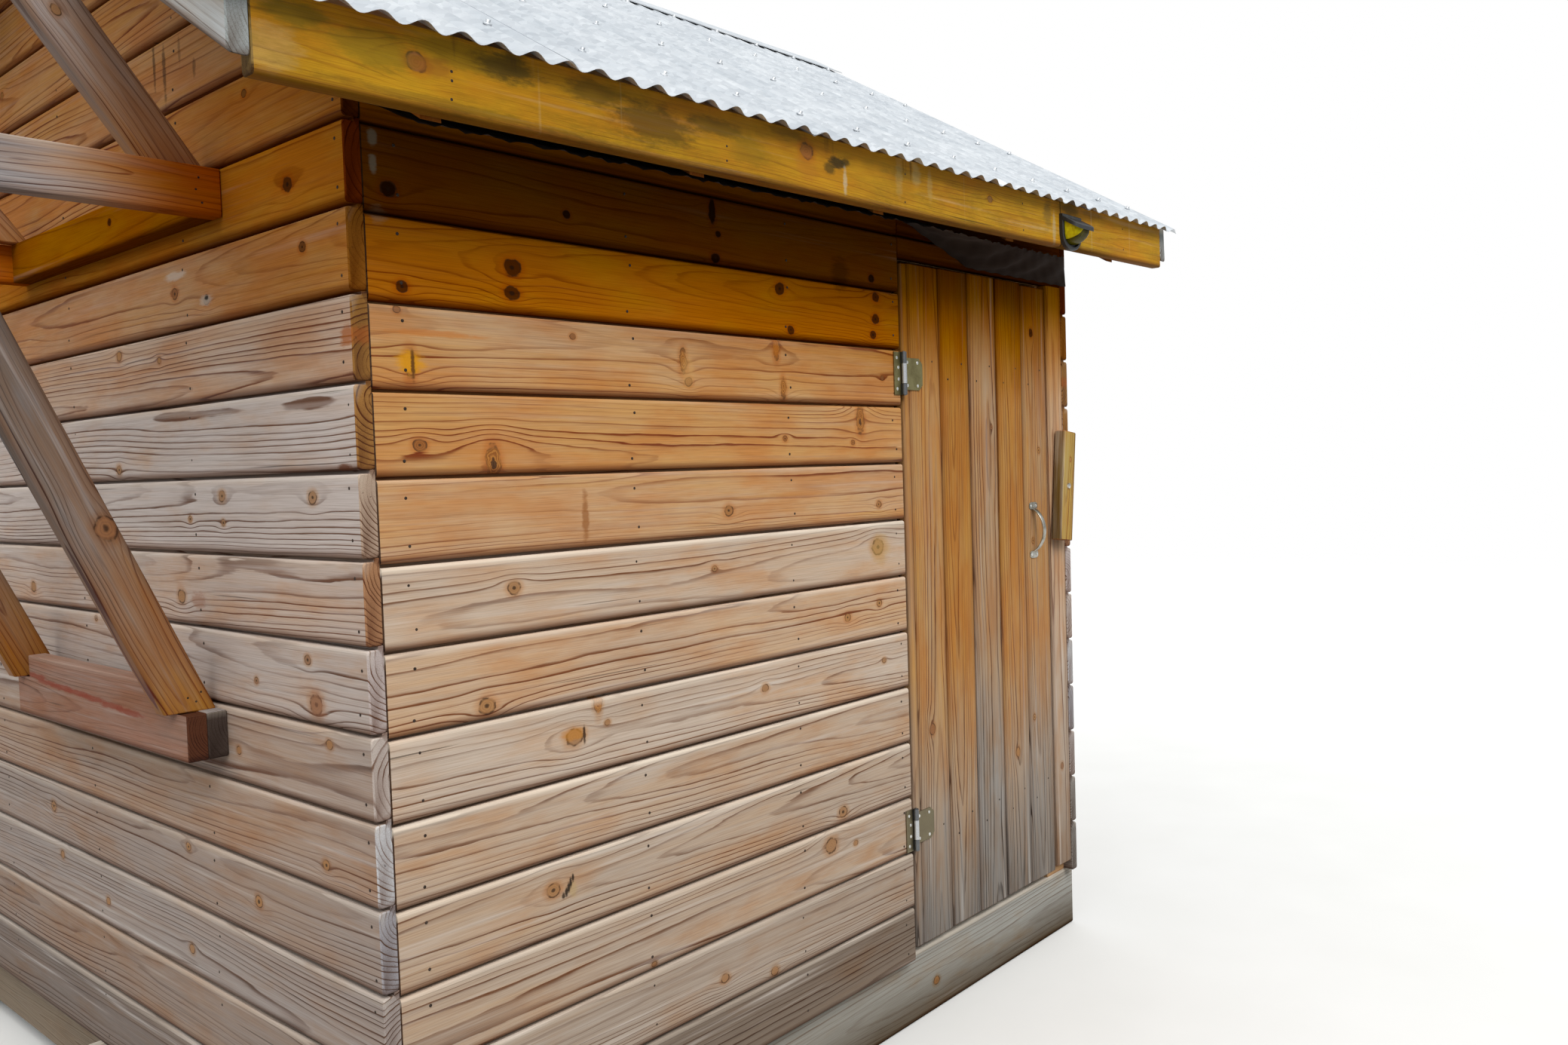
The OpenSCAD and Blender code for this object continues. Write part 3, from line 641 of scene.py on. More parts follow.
# Places on the front wall are measured from the middle of the hut
FRONT_STAINS = (
    (-1.113, 1.692, 0.030, 0.022, (222, 152, 14), 0.9), (-1.108, 1.690, 0.005, 0.030, (84, 46, 12), 0.9),
    (-1.060, 1.745, 0.110, 0.007, (206, 124, 50), 0.6),
    (-0.746, 1.415, 0.010, 0.052, (150, 92, 44), 0.75), (-0.794, 1.000, 0.034, 0.014, (196, 128, 40), 0.6),
    (-0.770, 0.996, 0.004, 0.020, (44, 26, 14), 0.9), (-0.812, 0.703, 0.012, 0.020, (186, 158, 92), 0.35),
    (-0.811, 0.725, 0.0035, 0.010, (40, 28, 18), 0.95), (-0.817, 0.717, 0.0042, 0.012, (40, 28, 18), 0.95),
    (-0.822, 0.710, 0.0046, 0.012, (40, 28, 18), 0.95), (-0.828, 0.703, 0.0046, 0.012, (40, 28, 18), 0.95),
    (-0.835, 0.697, 0.0050, 0.008, (44, 30, 18), 0.9), (-0.170, 1.772, 0.012, 0.030, (186, 106, 30), 0.6),
    (-0.452, 1.705, 0.020, 0.040, (214, 166, 100), 0.35), (0.205, 1.285, 0.045, 0.040, (196, 156, 86), 0.4),
    (-1.165, 2.060, 0.010, 0.015, (150, 146, 130), 0.6), (-1.166, 2.018, 0.008, 0.018, (150, 146, 130), 0.6),
    (-1.160, 1.935, 0.020, 0.016, (150, 140, 118), 0.35), (0.075, 1.960, 0.040, 0.045, (60, 30, 4), 0.5),
)
SIDE_STAINS = (
    (-1.205, 1.735, 0.026, 0.020, (168, 92, 34), 0.8), (-1.175, 1.519, 0.026, 0.008, (120, 66, 24), 0.85),
    (-0.700, 1.849, 0.030, 0.012, (196, 184, 168), 0.6), (-0.703, 1.853, 0.010, 0.005, (30, 20, 14), 0.95),
    (-0.600, 1.270, 0.040, 0.018, (154, 96, 58), 0.5), (-1.050, 1.109, 0.030, 0.030, (158, 104, 76), 0.35),
    (-0.570, 1.910, 0.050, 0.010, (214, 206, 196), 0.5),
    (-0.525, 2.330, 0.007, 0.055, (40, 26, 14), 0.65), (-0.570, 2.305, 0.009, 0.060, (40, 26, 14), 0.65),
    (-0.700, 2.285, 0.008, 0.020, (52, 34, 18), 0.5), (-0.640, 2.330, 0.006, 0.030, (60, 40, 22), 0.4),
)
# Algae, water marks and pitch on the fascia, and a red streak on the outer ledger
FASCIA_STAINS = (
    (-1.440, 2.090, 0.050, 0.040, (200, 166, 104), 0.45), (-1.400, 2.146, 0.060, 0.022, (98, 92, 16), 0.60),
    (-1.280, 2.125, 0.080, 0.034, (112, 100, 14), 0.50), (-1.110, 2.150, 0.130, 0.030, (104, 92, 10), 0.45),
    (-1.040, 2.152, 0.070, 0.024, (62, 48, 8), 0.75), (-0.860, 2.150, 0.080, 0.022, (66, 54, 10), 0.60),
    (-0.720, 2.122, 0.110, 0.042, (60, 46, 6), 0.72), (-0.560, 2.150, 0.080, 0.020, (66, 52, 8), 0.60),
    (-0.470, 2.120, 0.060, 0.030, (122, 98, 10), 0.40), (-0.187, 2.145, 0.030, 0.016, (26, 24, 8), 0.90),
    (-0.215, 2.128, 0.022, 0.014, (46, 42, 12), 0.75), (-0.160, 2.150, 0.020, 0.010, (34, 30, 8), 0.80),
    (-0.162, 2.108, 0.008, 0.034, (214, 208, 180), 0.45), (-0.290, 2.120, 0.040, 0.035, (176, 104, 30), 0.35),
    (-1.185, 2.122, 0.050, 0.018, (148, 88, 20), 0.60), (0.060, 2.160, 0.090, 0.016, (122, 96, 20), 0.45),
    (0.110, 2.165, 0.020, 0.030, (196, 184, 130), 0.30), (0.165, 2.150, 0.012, 0.045, (190, 176, 120), 0.28),
    (0.040, 2.150, 0.016, 0.050, (190, 176, 120), 0.25), (0.735, 2.160, 0.026, 0.045, (108, 88, 44), 0.55),
    (0.770, 2.120, 0.010, 0.060, (196, 188, 156), 0.40), (0.860, 2.190, 0.060, 0.016, (74, 50, 14), 0.65),
    (1.000, 2.195, 0.080, 0.012, (96, 70, 20), 0.45), (-0.350, 2.178, 0.060, 0.012, (70, 54, 12), 0.50),
    (-1.140, 2.070, 0.300, 0.008, (70, 48, 12), 0.40), (1.150, 2.110, 0.120, 0.010, (110, 80, 30), 0.30),
)
LEDGER_SPOTS = ((0.110, 1.070), (0.030, 1.061), (-0.060, 1.058), (-0.150, 1.055), (-0.240, 1.052),
                (-0.330, 1.047), (-0.430, 1.043))
LEDGER_STAINS = [(y, z, 0.085, 0.0075, (134, 54, 32), 0.72) for y, z in LEDGER_SPOTS]

front_mat = wood_shader("front_boards", fresh=(211, 160, 98), grey=(208, 190, 173), amber=(192, 124, 4),
                        deep=(124, 72, 4), contrast=1.55, stains=FRONT_STAINS, figure=1.7, coarse=1.15,
                        lines=((160, 104, 60), (148, 116, 94)))
side_mat = wood_shader("side_boards", fresh=(200, 148, 90), grey=(208, 196, 190), amber=(190, 124, 4),
                       deep=(124, 68, 2), contrast=1.7, stains=SIDE_STAINS, stain_axis="y", figure=1.5,
                       stretch=1.6, coarse=1.35, lines=((158, 102, 60), (138, 108, 90)))
door_mat = wood_shader("door_boards", fresh=(200, 150, 82), grey=(160, 154, 148), amber=(168, 108, 2),
                       deep=(120, 68, 4), contrast=1.5, lines=((146, 92, 44), (88, 76, 66)), figure=1.7,
                       stretch=1.5)
fascia_mat = wood_shader("fascia_wood", fresh=(190, 134, 2), grey=(216, 168, 34), amber=(160, 108, 2),
                         contrast=0.8, moss=(116, 92, 2), stains=FASCIA_STAINS,
                         lines=((170, 112, 30), (160, 112, 60)), knot_tints=((130, 72, 14), (150, 88, 22)))
grey_mat = wood_shader("grey_boards", fresh=(186, 182, 174), grey=(196, 199, 200), contrast=1.1)
rack_mat = wood_shader("rack_timber", fresh=(206, 146, 58), grey=(176, 178, 186), amber=(204, 112, 4),
                       contrast=1.5, lines=((164, 84, 28), (124, 108, 104)), figure=1.6, stretch=3.2)
button_mat = wood_shader("button_timber", fresh=(190, 156, 70), grey=(190, 168, 110))
ledger_mat = wood_shader("ledger_timber", fresh=(170, 112, 84), grey=(150, 122, 108), contrast=0.9,
                         stains=LEDGER_STAINS, stain_axis="y")
skid_mat = wood_shader("skid_timber", fresh=(150, 145, 134), grey=(178, 179, 174), amber=(80, 62, 38))
frame_mats = {axis: wood_shader("frame_timber_" + axis, axis=axis, contrast=0.9) for axis in ("x", "z")}
frame_mats["slope"] = wood_shader("frame_timber_slope", axis="slope", contrast=0.9, fixed_tone=(0.0, 0.8, 0.42))
joist_mat = wood_shader("joist_timber", fresh=(150, 132, 108), grey=(128, 116, 102), axis="y",
                        fixed_tone=(0.6, 0.1, 0.0))


def steel_shader(name, colour, dull, rough, scale, spangle=0.0, stain=None, barrel=None, lower=None):
    """Coated steel: a faint change of tone, fine scratches and stains. spangle is how much the crystals of
    its zinc stand out. barrel is (origin, radius, colour):
    whatever lies nearer to that upright axis is bare turned steel. lower is (height, colour) for what hangs
    under that height."""
    g = Graph(name)
    at = g.at()
    x, y, z = g.split(at)
    c = g.mix(g.step(g.noise(at, scale * 0.12, 4.0, 0.6), 0.3, 0.72), colour, dull)
    if spangle:
        crystal = g.split(g.of("TexVoronoi", {"Vector": at, "Scale": scale}, output="Color"))[0]
        c = g.tint(crystal * spangle, c, (176, 180, 186))
    if stain:
        c = g.mix(g.step(g.noise(at, scale * 0.55, 5.0, 0.7), 0.58, 0.72, (0.0, 0.8)), c, stain)
    if lower:
        c = g.mix(g.step(z, lower[0] - 0.1, lower[0] + 0.1, (0.8, 0.0)), c, lower[1])
    scratch = g.noise(g.of("VectorMath", (at, (1.0, 1.0, 9.0)), operation="MULTIPLY"), scale * 1.6, 3.0, 0.6)
    if barrel:
        (bx, by), radius, steel = barrel
        shade = (*(v * 0.6 for v in srgb(*steel)), 1)
        turned = g.mix(g.step(scratch, 0.3, 0.7), steel, shade)
        c = g.mix(g.step(g.length(x - bx, y - by), radius, radius + 0.0008), turned, c)
    return g.set(Base_Color=c, Metallic=1.0, Roughness=scratch * 0.18 + (rough - 0.08),
                 Normal=g.bump(scratch, 0.0002, 0.25))


roof_mat = steel_shader("galvanised_sheet", (228, 230, 232), (208, 212, 216), 0.50, 60.0, spangle=0.30)
pull_mat = steel_shader("pull_zinc", (184, 182, 174), (120, 114, 98), 0.30, 240.0)
screw_mat = steel_shader("screw_zinc", (226, 226, 222), (186, 184, 176), 0.30, 300.0)


def nail_shader():
    g = Graph("nail_steel")
    n = g.noise(g.at(), 400.0, 3.0, 0.6)
    return g.set(Base_Color=g.mix(g.step(n, 0.35, 0.65), (40, 30, 24), (70, 58, 50)),
                 Roughness=n * 0.3 + 0.6, Specular_IOR_Level=0.2)


nail_mat = nail_shader()


def black_plastic():
    g = Graph("black_plastic")
    at = g.at()
    mottle = g.noise(at, 45.0, 5.0, 0.65)
    return g.set(Base_Color=g.mix(g.step(mottle, 0.45, 0.8), (26, 26, 27), (58, 56, 52)),
                 Roughness=mottle * 0.2 + 0.38, Normal=g.bump(g.noise(at, 900.0), 0.0002, 0.3))


LIGHT_X, LIGHT_TOP = 0.799, EAVE_Z - 0.024  # the solar light's upper left corner
LIGHT_W, LIGHT_H, LIGHT_D = 0.110, 0.096, 0.056


def lens_shader():
    """Yellow lens: a bright reflector shows through its left side, its brightness a painted reflection, and a
    dark one and the lamp, with a painted highlight, through the rest.
    """
    g = Graph("yellow_lens")
    at = g.at()
    x, y, z = g.split(at)
    n = g.noise(at, 90.0, 4.0, 0.6)
    # Height over the reflector's slanting lower edge
    over = (z - (LIGHT_TOP - 0.078)) - (x - (LIGHT_X + 0.012))
    c = g.mix(g.step(n, 0.35, 0.7), (92, 86, 8), (66, 58, 6))
    c = g.mix(g.step(z, LIGHT_TOP - 0.090, LIGHT_TOP - 0.060, (0.5, 0.0)), c, (150, 140, 16))
    c = g.mix(g.step(over, -0.003, 0.001), c, (56, 34, 8))
    # Bright yellow of the reflector: painted reflection
    c = g.mix(g.step(over, 0.001, 0.004), c, g.mix(g.step(n, 0.3, 0.7), (252, 236, 30), (222, 196, 20)))
    lamp = g.length(x - (LIGHT_X + 0.086), (z - (LIGHT_TOP - 0.056)) * math.sqrt(0.4))
    c = g.mix(g.step(lamp, 0.004, 0.020, (0.8, 0.0)), c, (24, 18, 14))
    # Pale spot on the lamp: painted highlight
    c = g.mix(g.step(lamp, 0.0030, 0.0042, (1.0, 0.0)), c, (190, 192, 190))
    return g.set(Base_Color=c, Roughness=n * 0.08 + 0.30, Specular_IOR_Level=0.05,
                 Normal=g.bump(n, 0.0004, 0.3))


def cloth_shader():
    g = Graph("barrier_cloth")
    at = g.at()
    x, y, z = g.split(at)
    weave = g.math("PINGPONG", x * 420.0, 1.0) * g.math("PINGPONG", y * 420.0, 1.0)
    mottle = g.noise(at, 9.0, 5.0, 0.65)
    # Its left end is painted lighter and greyer, and the rest dark brown
    left = g.step(x + (mottle - 0.5) * 0.3, 0.30, 0.62, (1.0, 0.0))
    c = g.mix(g.step(mottle, 0.3, 0.75) * (left * 0.75 + 0.25), (26, 14, 7), (72, 62, 56))
    c = g.mix(weave * 0.25, c, g.mix(left, (40, 26, 17), (70, 60, 54)))
    return g.set(Base_Color=c, Roughness=0.92, Normal=g.bump(weave, 0.0005, 0.5), Specular_IOR_Level=0.15)


# Walls


def rows_from(bottom, top, first, sunk=()):
    """Lower and upper edges of the boards between bottom and top. The gaps stand at first and every pitch
    above it; sunk tells how far the gaps under the rows from the twelfth up were set too low."""
    out = []
    gap = PITCH_Z - BOARD_W
    low, n = bottom, 0
    while low < top - 0.01:
        n += 1
        sink = sunk[min(n - 12, len(sunk) - 1)] if sunk and n >= 12 else 0.0
        level = first + PITCH_Z * n - sink
        out.append((low, min(level - gap / 2, top)))
        low = level + gap / 2
    return out


ROW_LOW, ROW_GAP = 0.188, 0.185  # foot of the lowest board, and the middle of the gap that it would follow


def top_edge(hi):
    """The uppermost boards are cut to the roof's lean, and the others reach behind the next one."""
    return {"rise": math.tan(LEAN)} if hi > 2.1 else {"lip": LIP}


# Front wall. Each row: how grey, how warm, how dark, from the lowest board up
FRONT_TONES = [
    (1.10, 0.0, -0.80), (1.00, 0.1, -0.38), (0.80, 0.3, -0.22), (0.84, 0.25, -0.20), (0.84, 0.3, -0.12),
    (0.96, 0.3, 0.0), (0.56, 0.45, 0.0), (0.84, 0.35, 0.0), (0.30, 0.5, 0.0), (0.08, 0.5, 0.0),
    (0.18, 0.55, 0.0), (0.0, 0.8, 0.50), (0.0, 0.6, 0.98), (0.0, 0.9, 0.62),
]
# How pale the upper edge of each row is: painted highlight from the sky and dry wear
FRONT_RIMS = (0.3, 0.35, 0.5, 0.7, 1.0, 0.6, 0.6, 1.0, 0.4, 0.35, 0.3, 0.0, 0.0, 0.0)
# Knots of the front boards: row -> (x from the hut's left side, height, radius)
FRONT_KNOTS = {
    12: ((0.079, 1.980, 0.013), (0.456, 1.989, 0.008), (0.854, 2.049, -0.013), (0.861, 1.952, 0.011),
         (0.871, 2.004, 0.007), (1.421, 1.962, 0.010)),
    11: ((0.097, 1.820, 0.010), (0.322, 1.829, 0.014), (0.325, 1.875, 0.016), (1.069, 1.905, 0.014),
         (1.104, 1.814, 0.010), (1.422, 1.822, 0.010), (1.434, 1.862, 0.012), (1.437, 1.917, 0.012)),
    10: ((0.085, 1.781, 0.006), (0.106, 1.692, -0.013), (0.459, 1.759, 0.006), (0.752, 1.724, -0.013),
         (0.766, 1.683, 0.009), (1.050, 1.772, -0.014), (1.071, 1.678, -0.012), (1.456, 1.716, 0.007)),
    9: ((0.117, 1.554, 0.011), (0.266, 1.520, -0.018), (1.071, 1.563, 0.007), (1.326, 1.553, 0.007),
        (1.359, 1.609, -0.018)),
    8: ((0.875, 1.407, 0.012), (1.425, 1.397, 0.009)),
    7: ((0.299, 1.292, 0.012), (0.824, 1.284, 0.007), (1.416, 1.290, 0.020)),
    6: ((0.230, 1.087, 0.015), (1.285, 1.126, 0.010), (1.416, 1.147, 0.009)),
    5: ((0.425, 0.994, 0.017), (0.486, 1.049, -0.012), (0.508, 1.007, 0.006), (0.975, 1.001, 0.009),
        (1.429, 1.000, 0.007)),
    3: ((0.360, 0.714, 0.013), (1.244, 0.654, 0.013)),
    2: ((0.609, 0.489, 0.006), (1.195, 0.584, 0.018), (1.291, 0.565, 0.007)),
    1: ((0.814, 0.390, 0.010), (0.977, 0.350, 0.010)),
}


def front_tone(row):
    grey, warm, dark = FRONT_TONES[min(row, len(FRONT_TONES) - 1)]

    def at(p):
        # The upper right is darker and more amber
        right = clamp((p.x + HALF) / 1.5)
        high = clamp((p.z - 1.55) / 0.4)
        return (grey, warm, min(1.0, dark + (0.60 if row == 10 else 0.25) * high * right))
    return at


front = Planks("front_boards", 1)
nails = Bits("front_nails")
left_x, right_x = -HALF + WALL_T, DOOR_X[0] - 0.010
rows = rows_from(ROW_LOW, WALL_TOP + lean(left_x), ROW_GAP)
for i, (lo, hi) in enumerate(rows):
    knots = [(x - WALL_T, z - lo, r) for x, z, r in FRONT_KNOTS.get(i, ())]
    front.add((left_x, FRONT_Y + WALL_T, lo), X, Z, right_x - left_x, hi - lo, WALL_T, front_tone(i),
              knots=knots, inset=front.rng.uniform(0, UNEVEN), rims=(-1.0, FRONT_RIMS[i]), ends=(74, 52, 36),
              **top_edge(hi))
    if i < 13:
        for nx in (left_x + 0.058, -0.612, -0.130, right_x - 0.033):
            for nz in (lo + 0.028, hi - 0.028):
                jitter = front.rng.uniform(-0.008, 0.008)
                nails.lathe((nx + jitter, FRONT_Y + 0.0008, nz + jitter * 0.7), -Y, NAIL)
front.build(front_mat, "hut", "front_boards", "front_wall")

header = Planks("header_boards", 2)
for lo, hi in ((2.029, 2.081), (2.087, WALL_TOP + lean(right_x))):
    header.add((right_x, FRONT_Y + WALL_T, lo), X, Z, HALF - WALL_T - right_x, hi - lo, WALL_T,
               (0.0, 0.9, 1.0), knot_rate=0.3, **top_edge(hi))
header.build(front_mat, "hut", "shaded_boards", "door_header")


def post_tone(p):
    dark = (p.z - 1.6) * 1.5 if p.z > 1.6 else -0.06 - 0.6 * clamp((0.75 - p.z) / 0.5)
    return (clamp(1.2 - (p.z - 0.2) * 0.6), 0.3, dark)


post = Planks("door_post_board", 3)
post.add((HALF - 0.036, FRONT_Y + WALL_T, 0.227), Z, -X, 1.802, LUMBER_W, WALL_T, post_tone,
         knots=[(0.31, 0.05, 0.009), (1.2, 0.03, 0.008)], turn=(0, -1, 0), rims=(-0.4, -0.2))
post.build(front_mat, "hut", "front_boards", "door_post")

# Side walls: the boards run past the front and back walls and show their end grain
SIDE_TONES = [
    (0.9, 0.1, -0.78), (0.7, 0.3, -0.56), (0.9, 0.1, -0.46), (0.8, 0.2, -0.46), (0.6, 0.4, -0.36),
    (0.76, 0.25, -0.34), (0.86, 0.2, -0.14), (0.76, 0.3, -0.06), (1.2, 0.0, 0.0), (1.1, 0.1, 0.0),
    (0.55, 0.45, 0.0), (0.22, 0.6, 0.38), (0.0, 0.8, 0.44), (0.08, 0.7, 0.36), (0.15, 0.5, 0.26),
]
# End grain at the front corner, from the lowest row up
SIDE_ENDS = [
    (130, 124, 118), (140, 134, 128), (166, 154, 148), (158, 154, 158), (194, 192, 194), (190, 176, 168),
    (190, 176, 172), (170, 124, 88), (184, 160, 140), (162, 114, 58), (152, 106, 48), (152, 94, 30),
    (132, 56, 10), (118, 60, 12), (118, 64, 14),
]
SIDE_KNOTS = {
    12: ((0.700, 2.030, 0.010),),
    11: ((0.516, 1.849, 0.010), (0.654, 1.876, 0.011)),
    10: ((0.744, 1.753, 0.007), (0.944, 1.778, 0.011)),
    8: ((0.495, 1.425, 0.007), (0.495, 1.476, 0.011), (0.639, 1.432, 0.007)),
    7: ((0.698, 1.276, 0.014), (1.551, 1.261, 0.013)),
    6: ((0.175, 1.109, 0.018), (0.198, 1.186, 0.009), (0.394, 1.132, 0.007), (1.157, 1.205, 0.007)),
    5: ((0.136, 1.044, 0.009), (0.480, 0.990, 0.008)),
    3: ((0.429, 0.708, 0.012), (0.730, 0.758, 0.009)),
    2: ((0.738, 0.543, 0.010), (1.456, 0.606, 0.010)),
}

GABLE_TOP = RIDGE_Z - LUMBER_T / math.cos(SLOPE) - 0.0015


def gable_limit(z, peak):
    """How far a side wall's board reaches either way from the ridge at a height."""
    return clamp((peak - z) / math.tan(SLOPE), 0.0, HALF)


def side_tone(row, shade):
    grey, warm, dark = SIDE_TONES[min(row, len(SIDE_TONES) - 1)]

    def at(p):
        # The amber is deepest at the sheltered front corner
        back = clamp((p.y + 1.0) / 0.35) * (0.62 if row == 11 else 0.42)
        tint = dark * (1 - back) if dark > 0 and row != 12 else dark
        tint += 0.1 * clamp((p.z - 2.0) / 0.5) if dark >= 0 else 0.0
        return (clamp(grey - shade), warm, min(1.0, tint))
    return at


def side_wall(name, salt, outer_x, facing, knots_by_row, shade, node):
    """facing is -1 where the outer face looks to -X. A board's u runs back from the front wall."""
    planks, pins = Planks(name, salt), Bits(name.replace("boards", "nails"))
    inner_x = outer_x - facing * WALL_T
    peak = GABLE_TOP + lean(min(outer_x, inner_x))
    foot = peak - HALF * math.tan(SLOPE)
    rows = rows_from(0.190, peak - 0.015, 0.197, (0.004, 0.011, 0.013, 0.016, 0.018))
    for i, (lo, hi) in enumerate(rows):
        start = lambda v, lo=lo: HALF - gable_limit(lo + v, peak)
        stop = lambda v, lo=lo: HALF + gable_limit(lo + v, peak)
        knots = [(y, z - lo, r) for y, z, r in knots_by_row.get(i, ())]
        planks.add((inner_x, -HALF, lo), Y, Z, 2 * HALF, hi - lo, WALL_T, side_tone(i, shade), knots=knots,
                   start=start, stop=stop, inset=planks.rng.uniform(0, UNEVEN), turn=(facing, 0, 0),
                   knot_rate=0.15, ease=min(EASE, (hi - lo) / 3), lip=LIP if hi - lo > 0.1 else 0.0,
                   kinks=(foot - lo,) if lo + 0.01 < foot < hi - 0.01 else (), rims=(-1.0, 0.35),
                   ends=SIDE_ENDS[min(i, 14)])
        for ny in (-HALF + 0.025, -0.61, 0.0, 0.61, HALF - 0.025):
            for nz in (lo + 0.028, hi - 0.028):
                if abs(ny) > gable_limit(nz, peak) - 0.02 or hi - lo < 0.1:
                    continue
                jitter = planks.rng.uniform(-0.007, 0.007)
                pins.lathe((outer_x - facing * 0.0008, ny + jitter, nz + jitter * 0.8), (facing, 0, 0), NAIL)
    planks.build(side_mat, "hut", "side_boards", node)
    pins.build(nail_mat, "hut", "side_boards")


side_wall("left_boards", 11, -HALF, -1, SIDE_KNOTS, 0.0, "left_wall")
side_wall("right_boards", 12, HALF, 1, {}, 0.1, "right_wall")
nails.build(nail_mat, "hut", "front_boards")

back = Planks("back_boards", 13)
back_nails = Bits("back_nails")
for i, (lo, hi) in enumerate(rows_from(ROW_LOW, WALL_TOP + lean(HALF - WALL_T), ROW_GAP)):
    grey, warm, dark = SIDE_TONES[min(i, 14)]
    back.add((HALF - WALL_T, HALF - WALL_T, lo), -X, Z, 2 * (HALF - WALL_T), hi - lo, WALL_T,
             (grey, warm, dark), knot_rate=0.2, inset=back.rng.uniform(0, UNEVEN),
             lip=0.0 if hi > 2.1 else LIP, rise=-math.tan(LEAN) if hi > 2.1 else 0.0)
    for nx in (-1.165, -0.58, 0.0, 0.58, 1.165):
        for nz in (lo + 0.028, hi - 0.028):
            if hi - lo > 0.1:
                back_nails.lathe((nx, HALF - 0.0008, nz), Y, NAIL)
back.build(side_mat, "hut", "side_boards", "back_wall")
back_nails.build(nail_mat, "hut", "side_boards")

# Door

DOOR_STRIPS = [(0.000, 0.029, 0.2200)] + [
    (0.031 + i * PITCH_Z - (0.0 if i < 4 else 0.003), BOARD_W, z)
    for i, z in enumerate((0.2200, 0.2215, 0.2205, 0.2225, 0.2210))]
DOOR_KNOTS = {
    1: ((0.564, 0.063, 0.013),),
    3: ((1.373, 0.109, 0.006),),
    4: ((0.412, 0.070, 0.012),),
    5: ((1.656, 0.058, 0.011), (1.033, 0.044, 0.008), (0.499, 0.030, 0.008), (1.304, 0.090, 0.008)),
}
# How grey and how dark each door board is at the middle, and how dark it is higher up
DOOR_TONES = ((0.15, 0.05, 0.10), (0.16, 0.04, 0.08), (0.05, 0.16, 0.26), (0.44, 0.02, 0.03),
              (0.12, 0.12, 0.24), (0.30, 0.03, 0.08))


def door_tone(i):
    grey, middle, upper = DOOR_TONES[i]

    def at(p):
        low = clamp((0.86 - p.z) / 0.62)
        high = clamp((p.z - 1.66) / 0.34)
        dark = middle + (upper - middle) * clamp((p.z - 1.0) / 0.5)
        dark = dark * (1 - 2 * low) + 0.65 * high if low < 0.5 else -0.9 * (low - 0.5)
        return (clamp(grey + 1.25 * low), 0.55 - 0.4 * low, dark)
    return at


door = Planks("door_boards", 21)
for i, (x, wide, bottom) in enumerate(DOOR_STRIPS):
    top = 2.0205 - door.rng.uniform(0, 0.006)
    inset = door.rng.uniform(0, 0.001)
    pith = (wide * door.rng.uniform(0.3, 0.7), -door.rng.uniform(0.012, 0.035), door.rng.uniform(0.007, 0.0095))
    door.add((DOOR_X[0] + x + wide, FRONT_Y + DOOR_T, bottom), Z, -X, top - bottom, wide, DOOR_T, door_tone(i),
             knots=[(u, wide - v, r) for u, v, r in DOOR_KNOTS.get(i, ())], inset=inset, turn=(0, -1, 0),
             ease=0.005, rims=(-0.4, -0.4), pith=pith, lip=0.0 if i == 0 else LIP)
door.build(door_mat, "door", "door_boards", "door_leaf")

door_nails = Bits("door_nails")
for x, wide, bottom in DOOR_STRIPS:
    for z in (0.495, 1.745):
        for k in (-1, 1):
            nx = DOOR_X[0] + x + wide / 2 + 0.035 * k
            if wide > 0.1 and nx > 0.415:
                door_nails.lathe((nx, FRONT_Y + 0.0006, z + 0.022 * k), -Y, NAIL)
door_nails.build(nail_mat, "door", "door_boards")

ledges = Planks("door_ledge_boards", 22)
for z in (0.450, 1.701):
    ledges.add((DOOR_X[0] + 0.060, FRONT_Y + DOOR_T, z), X, Z, 0.652, LUMBER_W, 0.030, (0.1, 0.4, 0.1),
               knot_rate=0.4, turn=(0, 1, 0), ease=TIMBER_EASE)
ledges.build(door_mat, "door", "frame_wood", "door_ledges")

button = Planks("turn_button_block", 23)
OFF_PLUMB = math.radians(6.5)
b_up = Vector((math.sin(OFF_PLUMB), 0, math.cos(OFF_PLUMB)))
b_side = Vector((math.cos(OFF_PLUMB), 0, -math.sin(OFF_PLUMB)))
b_mid = Vector((1.142, FRONT_Y - 0.0053, 1.414))
# The band along the button's left edge gets a tone below zero: painted shade on its shaded side
button.add(b_mid - b_up * 0.168 + b_side * 0.038, b_up, -b_side, 0.336, 0.076, 0.032,
           lambda p: (0.3, 0.3, -0.75 if (p - b_mid).dot(b_side) < -0.0345 else 0.0),
           knots=[(0.25, 0.03, 0.006)], turn=(0, -1, 0), ease=0.004)
button.build(button_mat, "latch", "front_boards", "turn_button")

# Timber

SKID_W, SKID_H, SKID_OUT = 0.140, 0.190, 0.025


def skid_tone(p):
    dark = 0.55 * clamp(1 - p.z / 0.07) if p.z < 0.07 else -0.3 * clamp(-p.x)
    return (0.25 + 0.6 * clamp(p.x), 0.1, dark)


skids = Planks("skid_timbers", 31)
for y in (FRONT_Y + WALL_T, -SKID_W / 2, HALF - WALL_T - SKID_W):
    skids.add((-HALF - SKID_OUT, y + SKID_W, 0), X, Z, 2 * (HALF + SKID_OUT), SKID_H, SKID_W, skid_tone,
              knot_rate=0.3, turn=(0, -1, 0), pith=(0.09, 0.02, 0.006))
skids.build(skid_mat, "hut", "skid_wood", "front_skid", "middle_skid", "back_skid")

floor_boards = Planks("floor_boards", 32)
y, frame_in = FRONT_Y + WALL_T + 0.022, 1.098
while y < frame_in - 0.001:
    wide = min(BOARD_W, frame_in - 0.001 - y)
    # The boards in the doorway are short, and end at the line of the wall frame
    xa, xb = (-1.148, 1.148) if y > -frame_in else (0.333, 1.080)
    if y < -frame_in < y + wide:
        wide = -frame_in - y
    if wide > 0.02:
        floor_boards.add((xa, y, SKID_H), X, Y, xb - xa, wide, 0.019, (0.9, 0.2, -0.55), knot_rate=0.3,
                         ease=0.002)
    y += wide + 0.0015
floor_boards.build(rack_mat, "hut", "frame_wood", "floor_deck")

